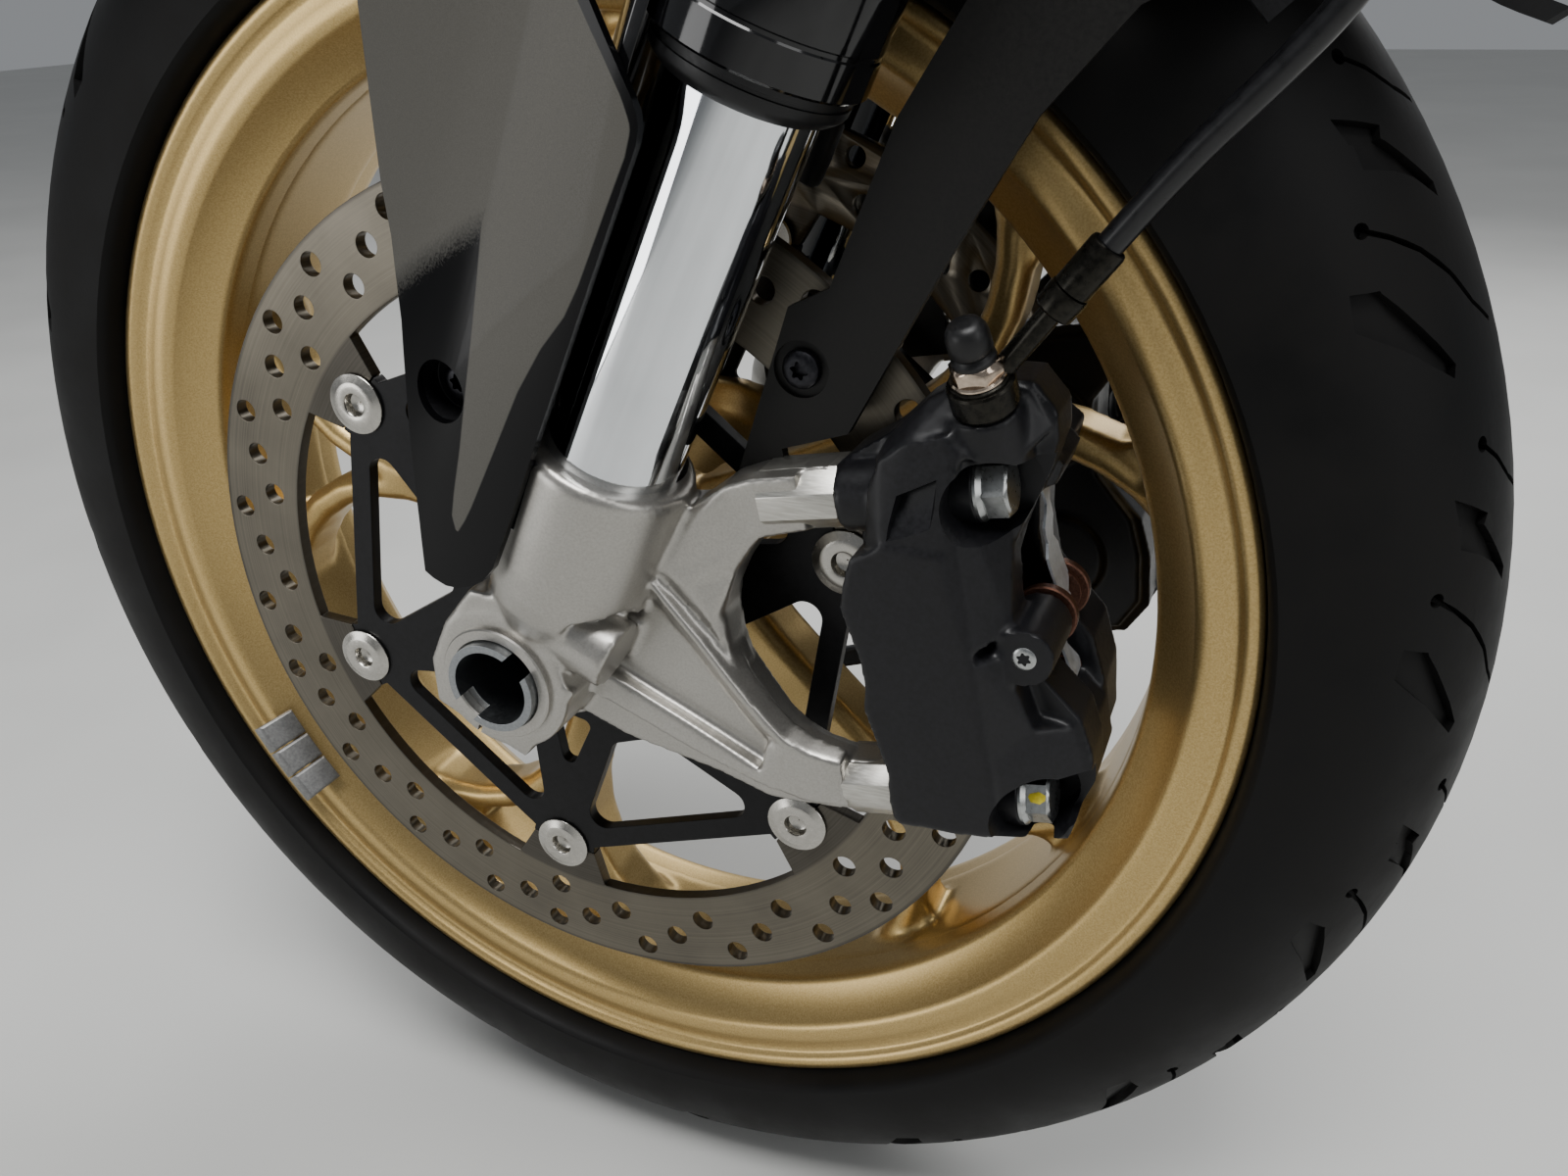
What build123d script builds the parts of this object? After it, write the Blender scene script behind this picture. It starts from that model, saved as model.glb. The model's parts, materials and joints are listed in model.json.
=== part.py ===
from build123d import *
from math import cos, radians, sin, tan
import os

os.makedirs("parts", exist_ok=True)

# Millimetres. X runs to the rear, Y to the rider's right, Z up. The origin is the centre of the lower
# bearing seat on the steering stem. The left leg is at minus Y.

# Steering geometry
rake = 25.0  # steering axis leans back from the vertical
stem_offset = 30.0  # steering axis behind the fork tubes
tube_offset = 3.0  # fork tubes behind the wheel's axis
tube_spacing = 206.0  # between the two fork tubes

# Wheel and tyre
bead_r = 218.3  # bead seat of a 17 inch rim
flange_height = 14.0
rim_half_width = 44.45  # 3.5 inches between the flanges
rim_lip = 7.0  # lip thickness outboard of the flange
well_depth = 14.3  # drop centre below the bead seat
barrel_wall = 6.5
tyre_r = 300.0
tyre_half_width = 60.5
tread_wall = 10.0
sidewall = 7.0
spoke_count = 5
first_spoke = 30.0  # angle of a spoke above the X axis
spoke_depth = 28.0
stem_width = 20.0  # spoke before it forks
arm_width = 13.0  # each arm of the fork
fork_r = 120.0  # radius at which the arms begin to bend away
arm_curve = 0.857  # bend of an arm's outer edge, as a share of its reach from fork to barrel
arm_spread = 23.6  # angle from a spoke's line to the outer foot of each arm
hub_r = 36.0
hub_flange_r = 50.0
hub_flange_y = 65.0
hub_bore_r = 20.0
bearing_r = 27.5
bearing_width = 13.0
bearing_recess = 2.0

# Axle
axle_r = 16.0
axle_bore_r = 11.0
socket_r = 13.3  # wider bore at each end
socket_depth = 45.0
axle_half_length = 127.0
slot_width = 8.5
slot_depth = 7.0
slot_angle = 42.0
fit_gap = 0.05  # radial clearance of a shaft in its hole

# Brake discs
disc_r = 160.0
disc_inner_r = 126.0
disc_thickness = 5.0
disc_y = 68.5  # centre plane of each disc
disc_hole_r = 4.3
bobbin_circle_r = 110.0
bobbin_count = 6
first_bobbin = 20.0
bobbin_hole_r = 9.0
bobbin_head_r = 11.3
bobbin_head = 2.4
bobbin_bore_r = 3.7
carrier_thickness = 5.0
carrier_apothem = 99.5
bar_width = 8.6
carrier_bore_r = 29.0
arm_half_width = 8.0

# Tyre valve
valve_r = 4.2
valve_base_r = 8.0
valve_length = 34.0

# Fork legs
inner_tube_r = 21.5
inner_tube_bore_r = 19.0
tube_seat = 40.0  # bottom of the chromed tube above the axle
tube_overlap = 210.0  # chromed tube inside the outer tube
outer_tube_low = 212.0  # lower end of the outer tube
outer_tube_r = 29.5
outer_tube_bore_r = 24.5
outer_tube_top = 745.0
clamp_zone_r = 29.0
top_clamp_r = 26.5
seal_r = 27.0
seal_height = 9.0

# Fork foot
foot_inner_y = 76.0
foot_outer_y = 124.0
foot_barrel_r = 27.0
foot_barrel_top = 88.0
axle_boss_r = 23.0
web_inner_y = 87.0
web_outer_y = 99.0
ridge_y = 105.0
ridge_width = 6.0
lug_half_width = 10.0

# Caliper, laid out on a line that points from the axle to the middle of its two bolts
caliper_angle = 10.5
bolt_pitch = 100.0
bolt_y = 95.0
bolt_r = 5.0
flange_r = 9.5
flange_thickness = 2.5
hex_r = 7.5
hex_height = 7.0
lug_face = 123.5
bolt_head_seat = 160.0
caliper_outer_y = 117.0
caliper_inner_y = 33.0
disc_slot = 16.0  # gap between the two halves, with pads and disc in it
bridge_r = 165.5
caliper_rim_r = 190.5
pad_clearance = 0.4
pad_plate = 4.2
pad_pin_r = 3.0
pad_pin_at = (173.0, 3.0)
pad_ear_r = 7.5  # ear of each pad's plate, round the pin
pin_boss_r = 9.0
pin_boss_y = 107.0
pin_head_r = 4.5
pin_head = 3.5
shoulder_y = 100.0
face_height = 5.0
piston_r = 15.0
piston_bore_r = 12.0
piston_at = (145.0, 17.0)
recess = 8.0  # behind the disc slot on each side, for pad and pistons
banjo_seat = 75.0  # upper end of the caliper, where the hose is bolted on
banjo_u = 171.0
banjo_y = 104.0
pipe_angle = 42.8
pipe_length = 27.6
pipe_r = 3.1
collar_r = 5.5
collar_length = 7.0
sleeve_r = 5.0
sleeve_length = 21.0  # with its collar

# Bottom yoke and stem
yoke_low = 545.0
yoke_height = 36.0
stem_press_r = 16.0
stem_seat_r = 15.0
stem_seat_length = 20.0
stem_r = 13.0
stem_top_r = 12.5
stem_length = 150.0
clamp_wall = 9.0

# Mudguard and guards
mudguard_gap = 22.0  # above the tread
mudguard_side_gap = 8.5  # beside the tyre
mudguard_wall = 3.0
skirt_drop = 24.0  # shell's crown above its sides
skirt_depth = 12.0
mudguard_rear = 43.0
mudguard_front = 126.0
flap_half_width = 27.0
flap_end = 35.0
flap_lift = 12.0
guard_wall = 3.0
guard_lap = 6.0  # guard over the mudguard's lower edge
guard_excess = 26.0  # guard's blank before its top is rounded off
guard_hole_r = 9.3
guard_hole_at = (91.8, -43.2)  # up the leg, aft of the axle
shield_r = 34.3
shield_wall = 2.5
shield_low = 62.0
shield_lap = 2.0  # tube shield above the mudguard's skirt
shield_inner_y = 78.5
shield_outer_y = 128.0
stay_wall = 4.0

# Brake hose
hose_r = 3.6
union_aft = 52.0  # union behind the wheel's axis, square to the tubes
union_height = 16.0
union_half = 14.0
port_angle = 52.0  # ports point this far below sideways
port_r = 6.0
port_length = 22.0

# Directions and datums
up = Vector(sin(radians(rake)), 0, cos(radians(rake)))  # along the fork tubes
aft = Vector(cos(radians(rake)), 0, -sin(radians(rake)))  # square to the tubes, to the rear
stem_aft = tube_offset + stem_offset
seat_height = yoke_low + yoke_height + stem_seat_length / 2  # bearing seat above the axle, along the tubes
axle = up * -seat_height - aft * stem_aft  # centre of the wheel
across = Vector(0, 1, 0)
outward = Vector(0, -1, 0)
wheel_axis = Axis(axle, across)
wheel_section = Plane(origin=axle, x_dir=(1, 0, 0), z_dir=(0, 0, 1))
tube_foot = axle + aft * tube_offset + outward * (tube_spacing / 2)
tube_axis = Axis(tube_foot, up)
tube_section = Plane(origin=tube_foot, x_dir=aft, z_dir=outward)
stem_foot = axle + aft * stem_aft
stem_axis = Axis(stem_foot, up)
stem_section = Plane(origin=stem_foot, x_dir=aft, z_dir=outward)
rim_face_y = rim_half_width + rim_lip
lip_r = bead_r + flange_height
mudguard_r = tyre_r + mudguard_gap
mudguard_half_width = tyre_half_width + mudguard_side_gap
skirt_r = mudguard_r - skirt_drop
guard_top_r = skirt_r + guard_lap
guard_reach = guard_top_r + guard_excess
shield_top = skirt_r + shield_lap


# A plane square to the axle, y outboard of the middle, drawn as seen from the left; its x points away
# from the axle at the given angle above the rear
def side(y, angle=0.0):
    radial = (cos(radians(angle)), 0, sin(radians(angle)))
    return Plane(origin=axle + outward * y, x_dir=radial, z_dir=outward)


# A plane square to the fork tubes, at a height above the axle
def level(height, offset=0.0, y=0.0):
    return Plane(origin=axle + up * height + aft * offset + across * y, x_dir=aft, z_dir=up)


# A closed outline of straight lines on a plane
def outline(plane, points):
    with BuildSketch(plane) as drawn:
        with BuildLine():
            Polyline(*points, close=True)
        make_face()
    return drawn.sketch


# The same, with its corners rounded
def rounded(plane, points, radius):
    with BuildSketch(plane) as drawn:
        with BuildLine():
            Polyline(*points, close=True)
        make_face()
        fillet(drawn.vertices(), radius)
    return drawn.sketch


# An outline given on one side of the wheel's middle plane, and mirrored to the other
def both_sides(points):
    with BuildSketch(wheel_section) as drawn:
        with BuildLine():
            Polyline(*points, close=True)
        make_face()
        mirror(about=Plane.XZ)
    return drawn.sketch


# Wheel: rim, forked spokes and hub in one casting
well_r = bead_r - well_depth  # drop centre on the tyre's side
barrel_r = well_r - barrel_wall  # drop centre on the hub's side
rim_half = [
    (well_r, 0),
    (well_r, 16),
    (bead_r - 4, 27),
    (bead_r, 30),
    (bead_r, rim_half_width),
    (lip_r - 1.5, rim_half_width + 1),
    (lip_r, rim_half_width + 3),
    (lip_r, rim_face_y - 1.5),
    (lip_r - 2, rim_face_y),
    (lip_r - 11, rim_face_y),
    (lip_r - 19, rim_face_y - 2),
    (lip_r - 21, rim_face_y - 3.5),
    (lip_r - 26, rim_half_width - 3),
    (barrel_r + 0.5, 34),
    (barrel_r, 0),
]
hub_half = [
    (hub_bore_r, 0),
    (hub_r, 0),
    (hub_r, 40),
    (hub_flange_r, 54),
    (hub_flange_r, hub_flange_y),
    (bearing_r, hub_flange_y),
    (bearing_r, hub_flange_y - bearing_width - bearing_recess),
    (hub_bore_r, hub_flange_y - bearing_width - bearing_recess),
]
arm_bend = arm_curve * (barrel_r - fork_r)
arm_centre = stem_width / 2 + arm_bend
spoke_end = (barrel_r + well_r) / 2
spoke_corner = (spoke_end * cos(radians(arm_spread)), spoke_end * sin(radians(arm_spread)))
with BuildPart() as wheel_rim:
    revolve(both_sides(rim_half), axis=wheel_axis)
    revolve(both_sides(hub_half), axis=wheel_axis)
    for i in range(spoke_count):
        with BuildSketch(side(0, first_spoke + i * 360 / spoke_count)):
            with BuildLine():
                ThreePointArc((spoke_corner[0], -spoke_corner[1]), (spoke_end, 0), spoke_corner)
                Polyline(spoke_corner, (fork_r, stem_width / 2), (hub_r - 4, stem_width * 0.7),
                         (hub_r - 4, -stem_width * 0.7), (fork_r, -stem_width / 2),
                         (spoke_corner[0], -spoke_corner[1]))
            make_face()
            with Locations((fork_r, arm_centre), (fork_r, -arm_centre)):
                Circle(arm_bend, mode=Mode.SUBTRACT)
            with BuildSketch(mode=Mode.SUBTRACT) as window:
                with Locations(((fork_r + well_r) / 2, 0)):
                    Rectangle(well_r - fork_r, 1.6 * arm_centre)
                Circle(barrel_r, mode=Mode.INTERSECT)
                with Locations((fork_r, arm_centre), (fork_r, -arm_centre)):
                    Circle(arm_bend + arm_width, mode=Mode.SUBTRACT)
                fillet(window.vertices(), 5)
        extrude(amount=spoke_depth / 2, both=True)

# Tyre: a hollow carcass whose beads sit against the rim's flanges
crown_r = tyre_r - tyre_half_width
with BuildPart() as tyre:
    with BuildSketch(wheel_section):
        with BuildLine():
            outer = CenterArc((crown_r, 0), tyre_half_width, 0, 90)
            Polyline(outer @ 1, (crown_r - 4, rim_face_y + 4), (lip_r + 1, rim_face_y + 1),
                     (lip_r + 0.4, rim_face_y - 1), (lip_r + 0.4, rim_half_width + 2.6),
                     (lip_r - 1.5, rim_half_width + 0.7),
                     (bead_r + 0.2, rim_half_width - 0.3), (bead_r + 0.2, rim_half_width - 13),
                     (lip_r - 4, rim_half_width - 8), (crown_r, tyre_half_width - sidewall))
            inner = ThreePointArc(
                (crown_r, tyre_half_width - sidewall),
                (crown_r + (tyre_half_width - tread_wall) * 0.75, (tyre_half_width - sidewall) * 0.66),
                (tyre_r - tread_wall, 0),
            )
            Line(inner @ 1, (tyre_r, 0))
        make_face()
        mirror(about=Plane.XZ)
    revolve(axis=wheel_axis)

# Tyre valve, halfway between two spokes
valve_line = side(0, first_spoke + 180 / spoke_count)
with BuildPart() as tyre_valve:
    revolve(
        outline(Plane(origin=axle, x_dir=valve_line.x_dir, z_dir=outward), [
            (barrel_r - 0.2, 0),
            (barrel_r - 0.2, valve_base_r),
            (barrel_r - 3, valve_base_r - 0.5),
            (barrel_r - 9, valve_r),
            (barrel_r - valve_length, valve_r),
            (barrel_r - valve_length, valve_r + 0.8),
            (barrel_r - valve_length - 8, valve_r + 0.8),
            (barrel_r - valve_length - 8, 0),
        ]),
        axis=Axis(axle, valve_line.x_dir),
    )

# Wheel bearings, one in each end of the hub
bearing_outer_y = hub_flange_y - bearing_recess
with BuildPart() as wheel_bearings:
    revolve(
        outline(wheel_section, [
            (axle_r + fit_gap, bearing_outer_y),
            (bearing_r, bearing_outer_y),
            (bearing_r, bearing_outer_y - bearing_width),
            (axle_r + fit_gap, bearing_outer_y - bearing_width),
        ]),
        axis=wheel_axis,
    )
    mirror(about=Plane.XZ)

# Spacers between the bearings and the fork feet
with BuildPart() as axle_spacers:
    revolve(
        outline(wheel_section, [
            (axle_r + fit_gap, bearing_outer_y + 0.3),
            (axle_r + 5, bearing_outer_y + 0.3),
            (axle_r + 5, foot_inner_y),
            (axle_r + fit_gap, foot_inner_y),
        ]),
        axis=wheel_axis,
    )
    mirror(about=Plane.XZ)

# Hollow axle with two opposite slots in each end
with BuildPart() as front_axle:
    with BuildSketch(side(-axle_half_length)):
        Circle(axle_r)
        Circle(axle_bore_r, mode=Mode.SUBTRACT)
    extrude(amount=2 * axle_half_length)
    for end in (axle_half_length - socket_depth, -axle_half_length):
        with BuildSketch(side(end)):
            Circle(socket_r)
        extrude(amount=socket_depth, mode=Mode.SUBTRACT)
    for end in (axle_half_length - slot_depth, -axle_half_length):
        with BuildSketch(side(end, slot_angle)):
            Rectangle(3 * axle_r, slot_width)
        extrude(amount=slot_depth, mode=Mode.SUBTRACT)

# Floating brake disc: a drilled ring with an ear over half of each bobbin
# Rows of holes: radius, angles from a bobbin within each sixth of the disc
hole_rows = [
    (152.3, (0, 16, 32, 48)),
    (137.0, (-16, 12, 28)),
    (133.5, (0,)),
    (145.0, (-22, -6, 6, 22)),
]
ear_root = 22.0
ear_tip = 14.0
sixth = 360 / bobbin_count
with BuildPart() as brake_disc:
    with BuildSketch(side(disc_y - disc_thickness / 2)):
        Circle(disc_r)
        Circle(disc_inner_r, mode=Mode.SUBTRACT)
        for i in range(bobbin_count):
            with Locations(Rotation(0, 0, first_bobbin + i * sixth)):
                Polygon((disc_inner_r + 3, -ear_root), (disc_inner_r + 3, ear_root),
                        (bobbin_circle_r + 0.3, ear_tip), (bobbin_circle_r + 0.3, -ear_tip), align=None)
        with PolarLocations(bobbin_circle_r, bobbin_count, start_angle=first_bobbin):
            Circle(bobbin_hole_r, mode=Mode.SUBTRACT)
        for radius, angles in hole_rows:
            for angle in angles:
                with PolarLocations(radius, bobbin_count, start_angle=first_bobbin + angle):
                    Circle(disc_hole_r, mode=Mode.SUBTRACT)
    extrude(amount=disc_thickness)

# Carrier: a six-sided frame, with an arm from the hub to each bobbin
with BuildPart() as disc_carrier:
    with BuildSketch(side(disc_y - disc_thickness / 2)):
        RegularPolygon(carrier_apothem, bobbin_count, major_radius=False, rotation=first_bobbin)
        with PolarLocations(bobbin_circle_r, bobbin_count, start_angle=first_bobbin):
            Circle(ear_tip)
        Circle(carrier_bore_r, mode=Mode.SUBTRACT)
        for i in range(bobbin_count):
            with Locations(Rotation(0, 0, first_bobbin + (i + 0.5) * sixth)):
                with BuildSketch(mode=Mode.PRIVATE) as gap:
                    bar_r = carrier_apothem - bar_width
                    corner = bar_r * tan(radians(sixth / 2)) - arm_half_width / cos(radians(sixth / 2))
                    Polygon((54, -10), (bar_r, -corner), (bar_r, corner), (54, 10), align=None)
                    fillet(gap.vertices(), 6)
                add(gap.sketch, mode=Mode.SUBTRACT)
            with Locations(Rotation(0, 0, first_bobbin + i * sixth)):
                with BuildSketch(mode=Mode.PRIVATE) as arm_window:
                    Polygon((46, -9), (76, 0), (46, 9), align=None)
                    fillet(arm_window.vertices(), 3)
                add(arm_window.sketch, mode=Mode.SUBTRACT)
                with Locations((bobbin_circle_r + ear_tip - 0.2, 0)):
                    Rectangle(2 * ear_tip, 3 * ear_tip, mode=Mode.SUBTRACT)
        with PolarLocations(bobbin_circle_r, bobbin_count, start_angle=first_bobbin):
            Circle(bobbin_hole_r, mode=Mode.SUBTRACT)
    extrude(amount=carrier_thickness)

# Bobbins: a flanged button in each hole between disc and carrier
bobbin_low = disc_y - disc_thickness / 2
bobbin_high = disc_y + disc_thickness / 2
with BuildPart() as disc_bobbins:
    for y, radius, length in (
        (bobbin_low - bobbin_head, bobbin_head_r, bobbin_head),
        (bobbin_low, bobbin_hole_r, disc_thickness),
        (bobbin_high, bobbin_head_r, bobbin_head),
    ):
        with BuildSketch(side(y)):
            with PolarLocations(bobbin_circle_r, bobbin_count, start_angle=first_bobbin):
                Circle(radius)
                Circle(bobbin_bore_r, mode=Mode.SUBTRACT)
        extrude(amount=length)

# Chromed inner tube
with BuildPart() as inner_tube:
    with BuildSketch(level(tube_seat, tube_offset, -tube_spacing / 2)):
        Circle(inner_tube_r)
        Circle(inner_tube_bore_r, mode=Mode.SUBTRACT)
    extrude(amount=outer_tube_low + tube_overlap - tube_seat)

# Outer tube, open below for the inner tube, with the two clamp zones
tube_profile = [
    (outer_tube_bore_r, outer_tube_low),
    (outer_tube_r, outer_tube_low),
    (outer_tube_r, outer_tube_low + 26),
    (outer_tube_r - 1.5, outer_tube_low + 30),
    (outer_tube_r - 1.5, yoke_low - 40),
    (clamp_zone_r, yoke_low - 30),
    (clamp_zone_r, yoke_low + yoke_height + 10),
    (top_clamp_r, yoke_low + yoke_height + 50),
    (top_clamp_r, outer_tube_top),
    (outer_tube_bore_r, outer_tube_top),
]
with BuildPart() as outer_tube:
    revolve(outline(tube_section, tube_profile), axis=tube_axis)

# Dust seal in the lower end of the outer tube
with BuildPart() as dust_seal:
    revolve(
        outline(tube_section, [
            (inner_tube_r + fit_gap, outer_tube_low - seal_height),
            (inner_tube_r + 2.5, outer_tube_low - seal_height),
            (seal_r, outer_tube_low - seal_height + 3),
            (seal_r, outer_tube_low),
            (outer_tube_bore_r, outer_tube_low),
            (outer_tube_bore_r, outer_tube_low + 12),
            (inner_tube_r + fit_gap, outer_tube_low + 12),
        ]),
        axis=tube_axis,
    )

# Fork cap with its six-sided adjuster
cap_plug = 14.0
with BuildPart() as fork_cap:
    revolve(
        outline(tube_section, [
            (0, outer_tube_top - cap_plug),
            (outer_tube_bore_r, outer_tube_top - cap_plug),
            (outer_tube_bore_r, outer_tube_top),
            (outer_tube_bore_r + 1, outer_tube_top),
            (outer_tube_bore_r + 1, outer_tube_top + 4),
            (outer_tube_bore_r - 1, outer_tube_top + 6),
            (0, outer_tube_top + 6),
        ]),
        axis=tube_axis,
    )
    with BuildSketch(level(outer_tube_top + 6, tube_offset, -tube_spacing / 2)):
        RegularPolygon(9.5, 6, major_radius=False)
    extrude(amount=8)
    with BuildSketch(level(outer_tube_top + 14, tube_offset, -tube_spacing / 2)):
        Circle(5)
    extrude(amount=4)

# Fork foot: barrel round the inner tube, axle boss with its split pinch block, and a web that
# carries two lugs for the caliper
half_pitch = bolt_pitch / 2
web_outline = [
    (9, -22),
    (27, -33),
    (60, -46),
    (78, -55),
    (97, -half_pitch - lug_half_width + 1),
    (lug_face, -half_pitch - lug_half_width + 1),
    (lug_face, -half_pitch + lug_half_width),
    (107, -half_pitch + lug_half_width + 1),
    (92, -31),
    (79, -9),
    (76.5, 5),
    (80, 21),
    (94, half_pitch - lug_half_width - 2),
    (106, half_pitch - lug_half_width + 1),
    (lug_face, half_pitch - lug_half_width),
    (lug_face, half_pitch + lug_half_width),
    (96, half_pitch + lug_half_width - 1),
    (77, 51),
    (50, 52),
    (20, 40),
]
# Up the leg and aft of the axle
pinch_block = [(-23.5, -19), (-23.5, 17.5), (6, 24), (19, 26.5), (29, 11), (29, -13), (9, -25), (-8, -25.5)]
pocket = [(50, 11), (38, -10), (58, -24), (77, -39), (81, -35)]
ridges = [
    ((48, 44), (61, 21), (78, -8), (90, -28), (104, -38)),
    ((20, -10), (58, -34), (104, -49)),
    ((55, 38), (68, 25), (76, 0)),
]
with BuildPart() as fork_foot:
    revolve(
        outline(tube_section, [
            (0, -18),
            (foot_barrel_r - 8, -18),
            (foot_barrel_r, 24),
            (foot_barrel_r, foot_barrel_top),
            (0, foot_barrel_top),
        ]),
        axis=tube_axis,
    )
    with BuildSketch(side(foot_inner_y)):
        Circle(axle_boss_r + 3)
    extrude(amount=foot_outer_y - foot_inner_y - 3)
    block_plane = Plane(origin=axle + outward * (foot_outer_y - 38), x_dir=aft, z_dir=outward)
    extrude(rounded(block_plane, [(q, s) for s, q in pinch_block], 3), amount=36)
    with BuildSketch(side(foot_outer_y - 2)):
        Circle(axle_boss_r)
    extrude(amount=2)
    extrude(rounded(side(web_inner_y, caliper_angle), web_outline, 3), amount=web_outer_y - web_inner_y)
    for crest in ridges:
        with BuildSketch(side(web_inner_y, caliper_angle)):
            with BuildLine():
                Polyline(*crest)
            trace(line_width=ridge_width)
        extrude(amount=ridge_y - web_inner_y)
    extrude(rounded(side(web_outer_y - 8, caliper_angle), pocket, 3), amount=10, mode=Mode.SUBTRACT)
    for sign in (1, -1):
        with BuildSketch(side(bolt_y - 11, caliper_angle)):
            with Locations((lug_face - 10, sign * half_pitch)):
                Rectangle(20, 2 * lug_half_width)
        extrude(amount=22)
    boss_start = side(web_outer_y, caliper_angle).from_local_coords((33, 24, 0))
    boss_end = side(web_outer_y + 3, caliper_angle).from_local_coords((45, 7, 0))
    with BuildSketch(Plane(origin=boss_start, z_dir=boss_end - boss_start)):
        Circle(12.5)
    extrude(amount=(boss_end - boss_start).length)
    with BuildSketch(level(tube_seat, tube_offset, -tube_spacing / 2)):
        Circle(inner_tube_r)
    extrude(amount=foot_barrel_top, mode=Mode.SUBTRACT)
    with BuildSketch(side(foot_inner_y)):
        Circle(axle_r)
    extrude(amount=foot_outer_y, mode=Mode.SUBTRACT)
    with BuildSketch(side(foot_inner_y - 2, -112)):
        with Locations((axle_r + 12, 0)):
            Rectangle(30, 1.6)
    extrude(amount=60, mode=Mode.SUBTRACT)
    for sign in (1, -1):
        bolt_line = side(bolt_y, caliper_angle)
        bolt_start = bolt_line.from_local_coords((lug_face - 18, sign * half_pitch, 0))
        with BuildSketch(Plane(origin=bolt_start, z_dir=bolt_line.x_dir)):
            Circle(bolt_r)
        extrude(amount=30, mode=Mode.SUBTRACT)

# Caliper: two halves joined by a bridge, drawn on the line to its middle
outer_half = [
    (124.5, 42),
    (128, 61),
    (142, 69),
    (157, 79),
    (164, banjo_seat),
    (178, banjo_seat),
    (187.5, 69),
    (187, 61),
    (175, 40),
    (166.5, 20),
    (167.5, 5),
    (184, -22),
    (186.5, -36),
    (184, -48),
    (177, -60.5),
    (124.5, -60.5),
    (126, -12),
    (124, 20),
]
inner_half = [
    (128, 48),
    (148, 62),
    (172, 62),
    (182, 48),
    (185, 0),
    (182, -48),
    (172, -58),
    (136, -58),
    (128, -40),
]
shoulder = [
    (125, 20),
    (128, 44),
    (138, 60),
    (150, 70),
    (168, 72),
    (180, 66),
    (170, 40),
    (163, 20),
    (163, 2),
    (172, -20),
    (180, -36),
    (172, -57),
    (127, -57),
    (127, -12),
]
face = [
    (126, 19),
    (129, 38),
    (139, 42),
    (156, 38),
    (158, 20),
    (161, 5),
    (160, -10),
    (161, -53),
    (147, -52),
    (129, -50),
    (129, -32),
    (126, -8),
]
pad_outline = [(127, -30), (160, -34), (163, -12), (163, 12), (160, 34), (127, 30)]
slot_low = disc_y - disc_slot / 2
with BuildPart() as caliper_body:
    extrude(rounded(side(slot_low, caliper_angle), outer_half, 3), amount=shoulder_y - slot_low)
    face_low = caliper_outer_y - face_height
    extrude(rounded(side(shoulder_y, caliper_angle), shoulder, 4), amount=face_low - shoulder_y)
    extrude(rounded(side(face_low, caliper_angle), face, 3), amount=face_height)
    with BuildSketch(side(slot_low, caliper_angle)):
        with Locations(pad_pin_at):
            Circle(pin_boss_r)
    extrude(amount=pin_boss_y - slot_low)
    extrude(rounded(side(caliper_inner_y, caliper_angle), inner_half, 4), amount=slot_low - caliper_inner_y)
    with BuildSketch(side(caliper_inner_y - 1)):
        Circle(caliper_rim_r + 60)
        Circle(caliper_rim_r, mode=Mode.SUBTRACT)
    extrude(amount=slot_low - caliper_inner_y + 1, mode=Mode.SUBTRACT)
    with BuildSketch(side(slot_low)):
        Circle(bridge_r)
    extrude(amount=disc_slot, mode=Mode.SUBTRACT)
    pad_space = rounded(side(slot_low - recess, caliper_angle), pad_outline, 2)
    extrude(pad_space, amount=disc_slot + 2 * recess, mode=Mode.SUBTRACT)
    with BuildSketch(side(slot_low - 6, caliper_angle)):
        with Locations((180, 0)):
            Rectangle(50, 44)
    extrude(amount=disc_slot + 12, mode=Mode.SUBTRACT)
    for sign in (1, -1):
        with BuildSketch(side(bolt_y - 11, caliper_angle)):
            with Locations(((lug_face + bolt_head_seat) / 2, sign * half_pitch)):
                Rectangle(bolt_head_seat - lug_face, 2 * lug_half_width)
        extrude(amount=22)
        with BuildSketch(side(bolt_y - 12, caliper_angle)):
            with Locations((bolt_head_seat + 15, sign * half_pitch)):
                RectangleRounded(30, 24, 2.2)
        extrude(amount=60, mode=Mode.SUBTRACT)
        bolt_line = side(bolt_y, caliper_angle)
        bolt_start = bolt_line.from_local_coords((lug_face - 2, sign * half_pitch, 0))
        with BuildSketch(Plane(origin=bolt_start, z_dir=bolt_line.x_dir)):
            Circle(bolt_r + 0.3)
        extrude(amount=60, mode=Mode.SUBTRACT)
    with BuildSketch(side(slot_low - 20, caliper_angle)):
        with Locations(pad_pin_at):
            Circle(pad_pin_r + 0.1)
    extrude(amount=90, mode=Mode.SUBTRACT)
    with BuildSketch(side(pin_boss_y - pin_head, caliper_angle)):
        with Locations(pad_pin_at):
            Circle(pin_head_r + 0.1)
    extrude(amount=2 * pin_head, mode=Mode.SUBTRACT)

# Caliper bolts, flanged hexagons whose shanks end in the foot's lugs
thread_start = lug_face - 18
bolt_line = side(bolt_y, caliper_angle)
with BuildPart() as caliper_bolts:
    for sign in (1, -1):
        for start, radius, length in (
            (thread_start, bolt_r - fit_gap, bolt_head_seat - thread_start),
            (bolt_head_seat, flange_r, flange_thickness),
        ):
            here = bolt_line.from_local_coords((start, sign * half_pitch, 0))
            with BuildSketch(Plane(origin=here, z_dir=bolt_line.x_dir)):
                Circle(radius)
            extrude(amount=length)
        here = bolt_line.from_local_coords((bolt_head_seat + flange_thickness, sign * half_pitch, 0))
        with BuildSketch(Plane(origin=here, z_dir=bolt_line.x_dir)):
            RegularPolygon(hex_r, 6, major_radius=False)
        extrude(amount=hex_height)

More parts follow.
